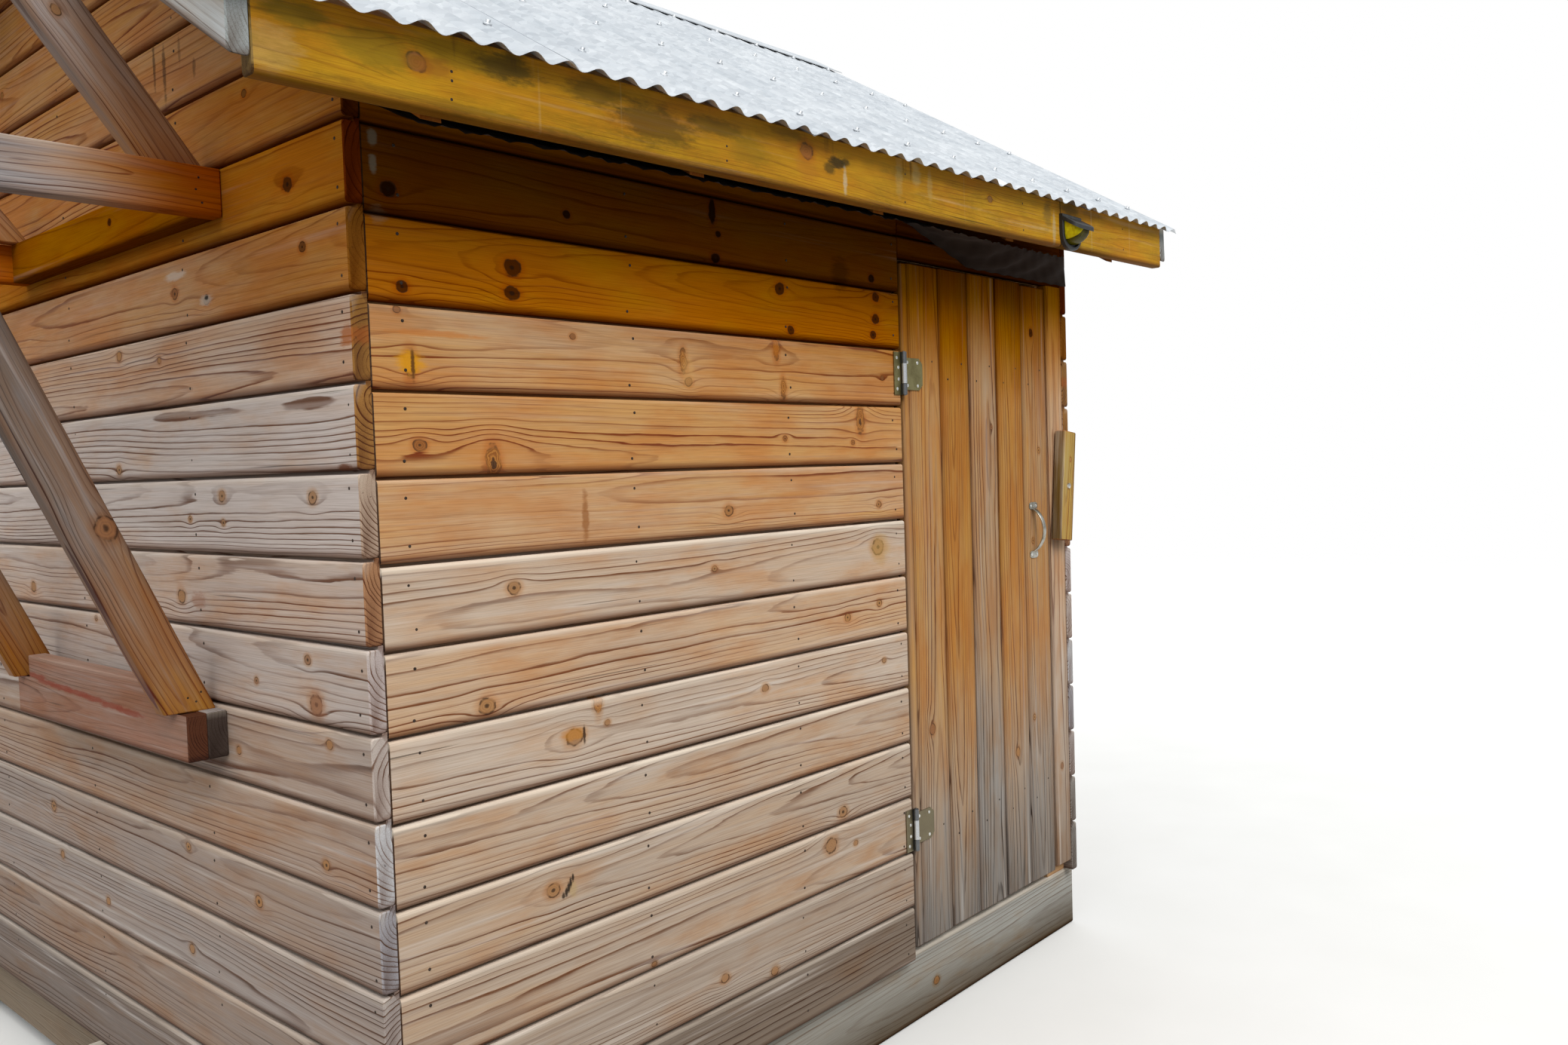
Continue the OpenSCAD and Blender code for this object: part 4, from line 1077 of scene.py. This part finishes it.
for name, timber in (("floor_joists", joist_mat), ("bottom_plates", frame_mats["x"]),
                     ("wall_studs", frame_mats["z"]), ("top_plates", frame_mats["x"]),
                     ("door_lintel", frame_mats["x"]), ("rafters", frame_mats["slope"]),
                     ("ridge_board", frame_mats["x"]), ("purlins", frame_mats["x"])):
    dress(name, timber)

# Fascia: two boards in front, one behind
FASCIA_X = GABLE_X - WALL_T - 0.001
FASCIA_FOOT, FASCIA_MID = EAVE_Z - 0.1242, EAVE_Z - 0.062
FASCIA_KNOTS = ((0.254, 0.068, 0.015), (1.174, 0.084, 0.017), (1.90, 0.08, 0.009))


def fascia_tone(p):
    low = clamp((2.125 + lean(p.x) - p.z) / 0.05)
    return (0.12 + 0.6 * low + 0.35 * clamp((p.x + 0.3) / 1.2), 0.5, 0.08 - 0.08 * clamp(p.x + 1))


fascia = Planks("front_fascia_boards", 33)
for xa, xb, knots in ((-FASCIA_X, 0.8065, FASCIA_KNOTS), (0.8075, FASCIA_X, ())):
    fascia.add(tipped((xa, EAVE_Y + WALL_T, FASCIA_FOOT), FASCIA_MID), X_TIP, Z_TIP, xb - xa, FASCIA_W, WALL_T,
               fascia_tone, turn=(0, -1, 0), rims=(-1.0, 0.0), knots=knots, pith=(0.05, -0.03, 0.0055),
               ends=(104, 76, 30))
fascia.build(fascia_mat, "hut", "fascia_wood", "front_fascia")
fascia_nails = Bits("fascia_nails")
for x, h in ((-1.148, 0.067), (-1.148, 0.053), (-1.150, 0.024), (-0.532, 0.054), (-0.533, 0.026),
             (0.062, 0.024), (0.065, 0.088), (0.602, 0.021), (0.600, 0.090), (1.200, 0.030), (1.195, 0.090)):
    fascia_nails.lathe((x, EAVE_Y + 0.0006, 2.072 + lean(x) + h), -Y, NAIL)
fascia_nails.build(nail_mat, "hut", "fascia_wood")
fascia = Planks("back_fascia_board", 34)
fascia.add(tipped((FASCIA_X, -EAVE_Y - WALL_T, FASCIA_FOOT), FASCIA_MID), -X_TIP, Z_TIP, 2 * FASCIA_X, FASCIA_W,
           WALL_T, (0.45, 0.5, 0.1), turn=(0, 1, 0), knot_rate=0.4)
fascia.build(fascia_mat, "hut", "fascia_wood", "back_fascia")

# Gable rafters: plumb cut at the eave and at the ridge
for side, node in ((-1, "left_gable_rafters"), (1, "right_gable_rafters")):
    planks = Planks(node.replace("rafters", "boards"), 35 + side)
    for way in (-1, 1):
        up = Vector((0, -way * math.cos(SLOPE), math.sin(SLOPE)))
        over = Vector((0, way * math.sin(SLOPE), math.cos(SLOPE)))
        level = EAVE_Z - 0.0002 + lean(-GABLE_X if side < 0 else GABLE_X - WALL_T)
        foot = Vector((side * (GABLE_X - WALL_T), way * -EAVE_Y, level)) - over * LUMBER_W
        run = (-EAVE_Y - 0.0006) / math.cos(SLOPE)
        # The plumb cuts: further up the slope at the lower edge, by the rise of the pitch
        cut = lambda v: (v - LUMBER_W) * math.tan(SLOPE)
        planks.add(foot, up, over, run, LUMBER_W, WALL_T, (0.85, 0.2, 0.0), start=cut,
                   stop=lambda v: run + cut(v), turn=(side, 0, 0), knot_rate=0.4, ends=(164, 170, 170))
    planks.build(grey_mat, "hut", "grey_wood", node)

# Rack

RACK_X = -HALF           # the left wall's face
ARM_Z, ARM_LENGTH = 1.990, 0.472
ARM_Y = (FRONT_Y + 0.432, FRONT_Y + 1.440)
LEDGER_Y, LEDGER_Z, LEDGER_LENGTH = FRONT_Y + 0.520, 0.975, 0.925
NOTCH = 0.0885           # height of the outer ledger's notches, which take the braces


def arm_tone(p):
    out = RACK_X - p.x
    dark = 0.60 * (1 - clamp((out - 0.12) / 0.14)) - 0.5 * clamp((out - 0.22) * 4)
    return (1.15 * clamp((out - 0.14) * 4.2), 0.8 - 0.8 * clamp((out - 0.14) * 4.0), dark)


rack = Planks("rack_arm_timbers", 41)
for y in ARM_Y:
    rack.add((RACK_X, y + LUMBER_T, ARM_Z), -X, Z, ARM_LENGTH, LUMBER_W, LUMBER_T, arm_tone, turn=(0, -1, 0),
             ease=TIMBER_EASE, seeds=(0.31, 0.58), pith=(0.046, 0.022, 0.0080), rims=(-0.6, 0.3))
rack.build(rack_mat, "hut", "rack_wood", "rack_arms")


def along_wall(node, salt, corner, length, width, tone, material, slot, **options):
    """One timber that lies along the left wall with its face outward."""
    timber = Planks(node + "_timber", salt)
    timber.add(corner, Y, Z, length, width, LUMBER_T, tone, turn=(-1, 0, 0), ease=TIMBER_EASE, **options)
    timber.build(material, "hut", slot, node)


along_wall("rack_rail", 42, (RACK_X - ARM_LENGTH, ARM_Y[0], ARM_Z), 1.046, LUMBER_W, (0.8, 0.2, 0.0),
           rack_mat, "rack_wood", knot_rate=0.4)
along_wall("upper_ledger", 43, (RACK_X, ARM_Y[0] + LUMBER_T, ARM_Z), 0.970, LUMBER_W, (0.1, 0.4, 0.76),
           side_mat, "rack_wood", knot_rate=0.4)
along_wall("inner_ledger", 44, (RACK_X, LEDGER_Y, LEDGER_Z), LEDGER_LENGTH, LUMBER_W, (0.9, 0.1, -0.45),
           rack_mat, "grey_wood", knot_rate=0.4, ends=(66, 54, 48), rims=(-1.0, 0.2))
along_wall("outer_ledger", 45, (RACK_X - LUMBER_T, LEDGER_Y, LEDGER_Z), LEDGER_LENGTH, 0.140, (0.75, 0.55, 0.0),
           ledger_mat, "ledger_wood", start=lambda v: 0.0 if v < NOTCH + 0.0001 else 0.078,
           stop=lambda v: LEDGER_LENGTH if v < NOTCH + 0.0001 else LEDGER_LENGTH - 0.078,
           kinks=(NOTCH, NOTCH + 0.0008), seeds=(0.42, 0.77), pith=(0.06, -0.03, 0.005), ends=(84, 46, 26),
           rims=(-1.0, 0.2))


def leaning(planks, foot, angle, top, plumb, tone, knots):
    """A timber in the XZ plane that leans away from the wall, with a level foot, and a plumb or level head."""
    s, c = math.sin(angle), math.cos(angle)
    x, y, z = foot

    def stop(v):
        return (top - v * c) / s if plumb else (top + v * s) / c

    planks.add((x, y + LUMBER_T, z), Vector((-s, 0, c)), Vector((-c, 0, -s)), 0, LUMBER_W, LUMBER_T, tone,
               start=lambda v: v * s / c, stop=stop, turn=(0, -1, 0), ease=TIMBER_EASE, knots=knots,
               pith=(0.046, 0.020, 0.0085), rims=(-0.5, -0.5))


def brace_tone(p):
    return (clamp(0.24 + (p.z - 1.20) * 1.6), 0.65, -0.46 - 0.5 * clamp(p.z - 1.3))


def strut_tone(p):
    return (clamp(0.36 + (p.z - 2.16) * 2.4), 0.5, 0.0)


rack = Planks("rack_brace_timbers", 46)
for y, knots in ((FRONT_Y + 0.560, [(0.402, 0.019, 0.019), (0.75, 0.06, 0.007)]),
                 (FRONT_Y + 1.390, [(0.5, 0.05, 0.01)])):
    leaning(rack, (RACK_X - 0.002, y, 1.064), math.radians(23.9), 0.926, False, brace_tone, knots)
rack.build(rack_mat, "hut", "rack_wood", "rack_braces")

rack = Planks("rack_strut_timbers", 47)
for y, knots in ((FRONT_Y + 0.470, [(0.33, 0.05, 0.008)]), (FRONT_Y + 1.402, [])):
    leaning(rack, (RACK_X - 0.010, y, ARM_Z + LUMBER_W), math.radians(37), 0.420, True, strut_tone, knots)
rack.build(rack_mat, "hut", "rack_wood", "rack_struts")

rack_nails = Bits("rack_nails")
for y, places in ((ARM_Y[0], ((-0.040, 2.057), (-0.046, 2.035), (-0.036, 2.012))),
                  (FRONT_Y + 0.560, ((-0.030, 1.100), (-0.055, 1.092), (-0.040, 1.083)))):
    for x, z in places:
        rack_nails.lathe((RACK_X + x, y + 0.0008, z), -Y, NAIL)
rack_nails.build(nail_mat, "hut", "rack_wood")

# Roof

WAVES, COVER = 45, 9     # corrugations on the roof, and on each sheet
WAVE, WAVE_H = 3.048 / WAVES, 0.013
SHEET_OVER, SHEET_T, LAP = 0.030, 0.0009, 0.0015
ROOF_X = -1.524
SLOPE_LEN = -EAVE_Y / math.cos(SLOPE) + SHEET_OVER - 0.006


def on_roof(x, s, h, way=1):
    """A point of the roof: s up the slope from the fascia's face, h above its plane. way is -1 at the back."""
    y = EAVE_Y + s * math.cos(SLOPE) - h * math.sin(SLOPE)
    return tipped((x, y * way, EAVE_Z + s * math.sin(SLOPE) + h * math.cos(SLOPE)), (EAVE_Z + RIDGE_Z) / 2)


def wave(u):
    return WAVE_H / 2 * (1 - math.cos(2 * math.pi * u / WAVE))


def sheet_outlines(rng, first, count, lift, way):
    """One corrugated sheet as outlines across its waves, from the eave to the ridge."""
    n, rows = round(count * 12), 5
    dents = [rng.uniform(-1, 1) for _ in range(12)]
    rings = []
    for k in range(rows + 1):
        s = -SHEET_OVER + (0.09 if k == 1 else SLOPE_LEN * k / rows)
        lower, upper = [], []
        for j in range(n + 1):
            u = (first + count * j / n) * WAVE
            h = lift + wave(u)
            edges = (0.0, 0.0)
            if k == 0:
                # The cut edge isn't quite true
                h += 0.0012 * math.sin(u * 23 + dents[0] * 3) * dents[1]
                h = max(h + 0.0008 * math.sin(u * 61 + dents[2] * 3), lift * 0.5)
                edges = [0.0006 * rng.uniform(-1, 1) for _ in range(2)]
            lower.append(on_roof(ROOF_X + u, s + edges[0], h, way))
            upper.append(on_roof(ROOF_X + u, s + edges[1], h + SHEET_T, way))
        rings.append(upper + lower[::-1])
    return rings


def sheets(side, over, way):
    """The sheets that lie under, or over, their neighbours on one slope."""
    layer = "over" if over else "under"
    rng = random.Random(SEED + (7 if over else 3) * way)
    piece = Bits("%s_sheets_%s" % (side, layer))
    lap = 0.375 if over else 0.0
    for i in range(1 if over else 0, WAVES // COVER, 2):
        rings = sheet_outlines(rng, i * COVER - lap, COVER + 2 * lap, LAP if over else 0.0, way)
        piece.loft(rings, strips=True, flip=way < 0)
    piece.build(roof_mat, "hut", "roof_steel", "%s_%s_sheets" % (side, layer), sharp=50)


for side, way in (("front", 1), ("back", -1)):
    sheets(side, False, way)
    sheets(side, True, way)
dress("ridge_cap", roof_mat)

# Roof screws on the crests, over the purlins
ROOF_SCREW = ((-0.001, 0.0085), (0.0016, 0.0085), (0.0026, 0.0058), (0.0026, 0.0046), (0.0072, 0.0046),
              (0.0076, 0.0040))
screws = Bits("roof_screws")
for way in (1, -1):
    normal = Y * (-math.sin(SLOPE) * way) + Z_TIP * math.cos(SLOPE)
    for s in (0.115, 0.605, 1.095, 1.500):
        for k in range(1, WAVES, 3):
            foot = on_roof(ROOF_X + (k + 0.5) * WAVE, s, WAVE_H + LAP, way)
            screws.lathe(foot, normal, ROOF_SCREW, sides=6)
screws.build(roof_mat, "hut", "roof_steel")

# Fittings

HINGE_X, HINGE_Y, LEAF_T = 0.321, -1.227, 0.0025
SCREW_HEAD = ((-0.0020, 0.0030), (0.0002, 0.0046), (0.0010, 0.0040), (0.0014, 0.0022), (0.0008, 0.0011))


def screw_heads(name, body, slot, places):
    """Countersunk screws in the front: places are (x, z) on a plate as thick as a hinge's leaf."""
    heads = Bits(name)
    for x, z in places:
        heads.lathe((x, FRONT_Y - LEAF_T, z), -Y, SCREW_HEAD, sides=14)
    heads.build(screw_mat, body, slot)


WALL_SPOTS = ((-0.024, -0.040), (-0.018, -0.015), (-0.018, 0.015), (-0.024, 0.040))
DOOR_SPOTS = ((0.022, -0.030), (0.068, -0.030), (0.022, 0.030), (0.068, 0.030))
for side, body, steel, spots in (("wall", "hut", (120, 122, 124), WALL_SPOTS),
                                 ("door", "door", (214, 216, 218), DOOR_SPOTS)):
    leaves = side + "_hinge_leaves"
    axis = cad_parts[leaves].matrix_world.inverted() @ Vector((HINGE_X, HINGE_Y, 0))
    dress(leaves, steel_shader(side + "_hinge_zinc", (146, 138, 96), (118, 108, 70), 0.40, 220.0,
                               stain=(84, 72, 44), barrel=((axis.x, axis.y), 0.0088, steel),
                               lower=(1.0, (112, 102, 84))))
    screw_heads(side + "_hinge_screws", body, "hinge_steel",
                [(HINGE_X + x, z + h) for z in (0.538, 1.730) for x, h in spots])
dress("button_screw", screw_mat)


def handle():
    """The pull: a bowed strap that widens into two screw plates."""
    cx, cz, plate_z, radius = 0.985, 1.286, 0.073, 0.0813
    pull = Bits("pull_bow")
    n, half = 40, 1.02 * math.asin(0.0685 / ((0.0685 ** 2 + 0.0375 ** 2) / (2 * 0.0375)))
    rings = []
    for i in range(n + 1):
        a = half * (2 * i / n - 1)
        t = abs(a) / half
        wide, thick = 0.0082 + 0.0030 * t ** 3, 0.0058 - 0.0020 * t ** 2
        out = Vector((0, -math.cos(a), math.sin(a)))
        middle = Vector((cx, FRONT_Y + 0.0413, cz)) + out * radius
        ring = []
        for b in (2 * math.pi * j / 16 for j in range(16)):
            p = middle + out * (bulge(math.sin(b), 0.8) * thick / 2 - LEAF_T)
            p += X * (bulge(math.cos(b), 0.55) * wide)
            ring.append((p.x, min(p.y, FRONT_Y - 0.0002), p.z))
        rings.append(ring)
    pull.loft(rings)
    # Plates: rounded outlines with a soft top edge
    turns = [2 * math.pi * j / 32 for j in range(32)]
    outline = [(bulge(math.cos(b), 0.6) * 0.0240, bulge(math.sin(b), 0.75) * 0.0115) for b in turns]
    for z in (cz - plate_z, cz + plate_z):
        pull.loft([[(cx + px * grow, FRONT_Y + y, z + pz * grow) for px, pz in outline]
                   for y, grow in ((0.0, 1.0), (-0.0017, 1.0), (-LEAF_T, 0.95))], flip=True)
    pull.build(pull_mat, "door", "pull_steel", "pull_handle", sharp=40)
    screw_heads("pull_screws", "door", "pull_steel",
                [(cx + x, z) for z in (cz - plate_z, cz + plate_z) for x in (-0.015, 0.015)])


def solar_light():
    """The light on the fascia: a D-shaped frame, a cap with the panel, and a lens that swells out below."""
    cx, rx, steps = LIGHT_X + LIGHT_W / 2, LIGHT_W / 2, 24
    half_turn = [math.pi * k / steps for k in range(steps + 1)]
    drop = 0.034 / LIGHT_D

    def outline(d):
        """The D, drawn in by d: from the top right corner down round the foot to the top left corner."""
        half, top, mid = rx - d, LIGHT_TOP - d, LIGHT_TOP - 0.046
        arc = [(cx + half * math.cos(a), mid - (LIGHT_H - 0.046 - d) * math.sin(a) ** 0.8) for a in half_turn]
        return ([(cx + half, top), (cx + half, (top + mid) / 2)] + arc
                + [(cx - half, (top + mid) / 2), (cx - half, top)])

    housing = Bits("light_frame")
    profile = ((0.0, 0.0), (0.0, 0.010), (0.0025, 0.0125), (0.0085, 0.0125), (0.0090, 0.004))
    housing.loft([[(x, EAVE_Y - out, z) for x, z in outline(d)] for d, out in profile], smooth=False, flip=True)

    def plan(grow, out):
        return [(cx + rx * grow * bulge(math.cos(a), 0.3), out * math.sin(a) ** 0.3) for a in half_turn]

    # The cap slopes down to its front edge, which has rounded corners
    tiers = ((1.0, LIGHT_D, -0.012), (1.0, LIGHT_D, -0.0015), (0.975, LIGHT_D - 0.0015, 0.0),
             (0.88, LIGHT_D - 0.006, 0.0), (0.87, LIGHT_D - 0.007, -0.0008))
    housing.loft([[(x, EAVE_Y - d, LIGHT_TOP + up - drop * d) for x, d in plan(grow, out)]
                  for grow, out, up in tiers], smooth=False)
    housing.build(black_plastic(), "hut", "light_plastic", "light_housing")

    rings, bands = [], 5
    for t in (math.pi / 2 * b / bands for b in range(bands + 1)):
        ring = []
        for a in half_turn:
            s = math.sin(a) ** 0.6
            d = 0.0075 + (LIGHT_D - 0.0125) * s * math.sin(t)
            depth = (LIGHT_H - 0.0285 - drop * d) * s * math.cos(t)
            x = cx + (rx - 0.008) * bulge(math.cos(a), 0.6)
            ring.append((x, EAVE_Y - d, LIGHT_TOP - 0.012 - drop * d - depth))
        rings.append(ring)
    lens = Bits("light_glass")
    lens.loft(rings, smooth=False, closed=False)
    lens.build(lens_shader(), "hut", "lens_plastic", "light_lens")


def eave_cloth():
    """Torn cloth: tacked under the rafters on the left, hanging loose over the door on the right."""
    cols, rows, front_y, lowest = 170, 12, -1.391, 2.0315
    # Along the wall: x, the front edge's x and z, the height at the wall
    marks = ((-1.189, -1.189, 2.044, 2.114), (0.300, 0.300, 2.066, 2.135), (0.645, 0.560, 2.064, 2.0335),
             (1.215, 0.882, 2.066, 2.0335))
    rng = random.Random(SEED + 99)
    phase = [rng.uniform(0, 6) for _ in range(6)]
    rings = []
    for i in range(cols + 1):
        x = marks[0][0] + (marks[-1][0] - marks[0][0]) * i / cols
        a, b = next((a, b) for a, b in zip(marks, marks[1:]) if x <= b[0] + 1e-6)
        t = (x - a[0]) / (b[0] - a[0])
        front_x, front_z, wall_z = (a[k] + (b[k] - a[k]) * t for k in (1, 2, 3))
        loose = clamp((x - 0.20) / 0.4)
        fray = 0.006 * math.sin(x * 83 + phase[1]) + 0.004 * math.sin(x * 211 + phase[2])
        ring = []
        for t in (j / rows for j in range(rows + 1)):
            z = front_z + (wall_z - front_z) * t
            sag = math.sin(math.pi * t)
            z -= 0.010 * loose * sag * (0.6 + 0.5 * math.sin(x * 9 + t * 4 + phase[0]))
            # Slanting folds, deeper over the door
            z += (0.0008 + 0.0046 * loose) * sag * math.sin(x * 34 + t * 6 + phase[3])
            z += 0.0012 * math.sin(x * 90 - t * 9 + phase[4]) * (0.3 + t)
            if t == 0.0:
                z += fray * 0.4
            y = front_y + (FRONT_Y - 0.0035 - front_y) * t
            ring.append((front_x + (x - front_x) * t, y, max(z, lowest)))
        rings.append(ring)
    cloth = Bits("eave_sheet")
    cloth.loft(rings, closed=False, caps=False)
    obj = cloth.build(cloth_shader(), "hut", "eave_fabric", "eave_cloth")


handle()
solar_light()
eave_cloth()

# Stage


def studio_floor():
    """Pale paper that turns to pure white far away, and that other surfaces see as darker."""
    g = Graph("floor_paper")
    at = g.at()
    x, y, z = g.split(at)
    seen = g.high(g.of("LightPath", output="Is Camera Ray"), g.of("LightPath", output="Is Glossy Ray"))
    tone = g.mix(g.noise(at, 3.0, 3.0), (226, 225, 222), (232, 231, 229))
    g.set(Base_Color=g.mix(seen, (120, 118, 112), tone), Roughness=0.95, Specular_IOR_Level=0.1)
    white = g.of("Emission", {"Color": (255, 255, 255), "Strength": 1.0})
    g.blend(g.step(g.length(x, y), 4.0, 16.0) * seen, Val(g, g.bsdf.outputs[0]), white)
    sides, radius = 64, 60
    ring = [(radius * math.cos(a), radius * math.sin(a), -0.0005) for a in
            (2 * math.pi * i / sides for i in range(sides))]
    mesh = mesh_of("floor", ring, [tuple(range(sides))], [False])
    mesh.materials.append(g.block)
    obj = bpy.data.objects.new("floor", mesh)
    bpy.context.scene.collection.objects.link(obj)


def studio_light():
    """A sky that is brighter above and white to the camera, and two soft suns."""
    g = Graph("studio", world=True)
    height = g.split(g.of("TexCoord", output="Generated"))[2]
    sky = g.step(height, -0.15, 0.75, (0.32, 1.05))
    light = g.of("Background", {"Color": (0.93, 0.97, 1.0, 1), "Strength": sky})
    white = g.of("Background", {"Color": (255, 255, 255), "Strength": 1.0})
    seen = g.high(g.of("LightPath", output="Is Camera Ray"), g.of("LightPath", output="Is Transmission Ray"))
    g.blend(seen, light, white)
    bpy.context.scene.world = g.block
    for name, strength, angle, at in (("key", 1.9, 32, (-2.0, -5.0, 5.5)), ("fill", 0.5, 60, (-6.0, 1.0, 3.0))):
        lamp = bpy.data.lights.new(name, "SUN")
        lamp.energy = strength
        lamp.angle = math.radians(angle)
        lamp.color = (1.0, 0.975, 0.94)
        obj = bpy.data.objects.new(name, lamp)
        obj.rotation_euler = (-Vector(at)).to_track_quat("-Z", "Y").to_euler()
        bpy.context.scene.collection.objects.link(obj)


def camera():
    """The camera that was fitted to the photograph: its lens in pixels of the photograph's width."""
    lens_px, photo_px, sensor = 1605, 2080, 36.0
    yaw, pitch, roll = (math.radians(a) for a in (49.12, -2.56, -1.81))
    look = Vector((math.sin(yaw) * math.cos(pitch), math.cos(yaw) * math.cos(pitch), math.sin(pitch)))
    right = Vector((math.cos(yaw), -math.sin(yaw), 0))
    up = right.cross(look)
    rolled_right = right * math.cos(roll) + up * math.sin(roll)
    rolled_up = up * math.cos(roll) - right * math.sin(roll)
    data = bpy.data.cameras.new("camera")
    data.sensor_fit = "HORIZONTAL"
    data.sensor_width = sensor
    data.lens = sensor * lens_px / photo_px
    data.clip_start, data.clip_end = 0.05, 200
    obj = bpy.data.objects.new("camera", data)
    turned = Matrix((rolled_right, rolled_up, -look)).transposed().to_4x4()
    turned.translation = Vector((-2.260, -3.035, 1.495))
    obj.matrix_world = turned
    bpy.context.scene.collection.objects.link(obj)
    bpy.context.scene.camera = obj


studio_floor()
studio_light()
camera()
bpy.context.scene.view_settings.view_transform = "Standard"
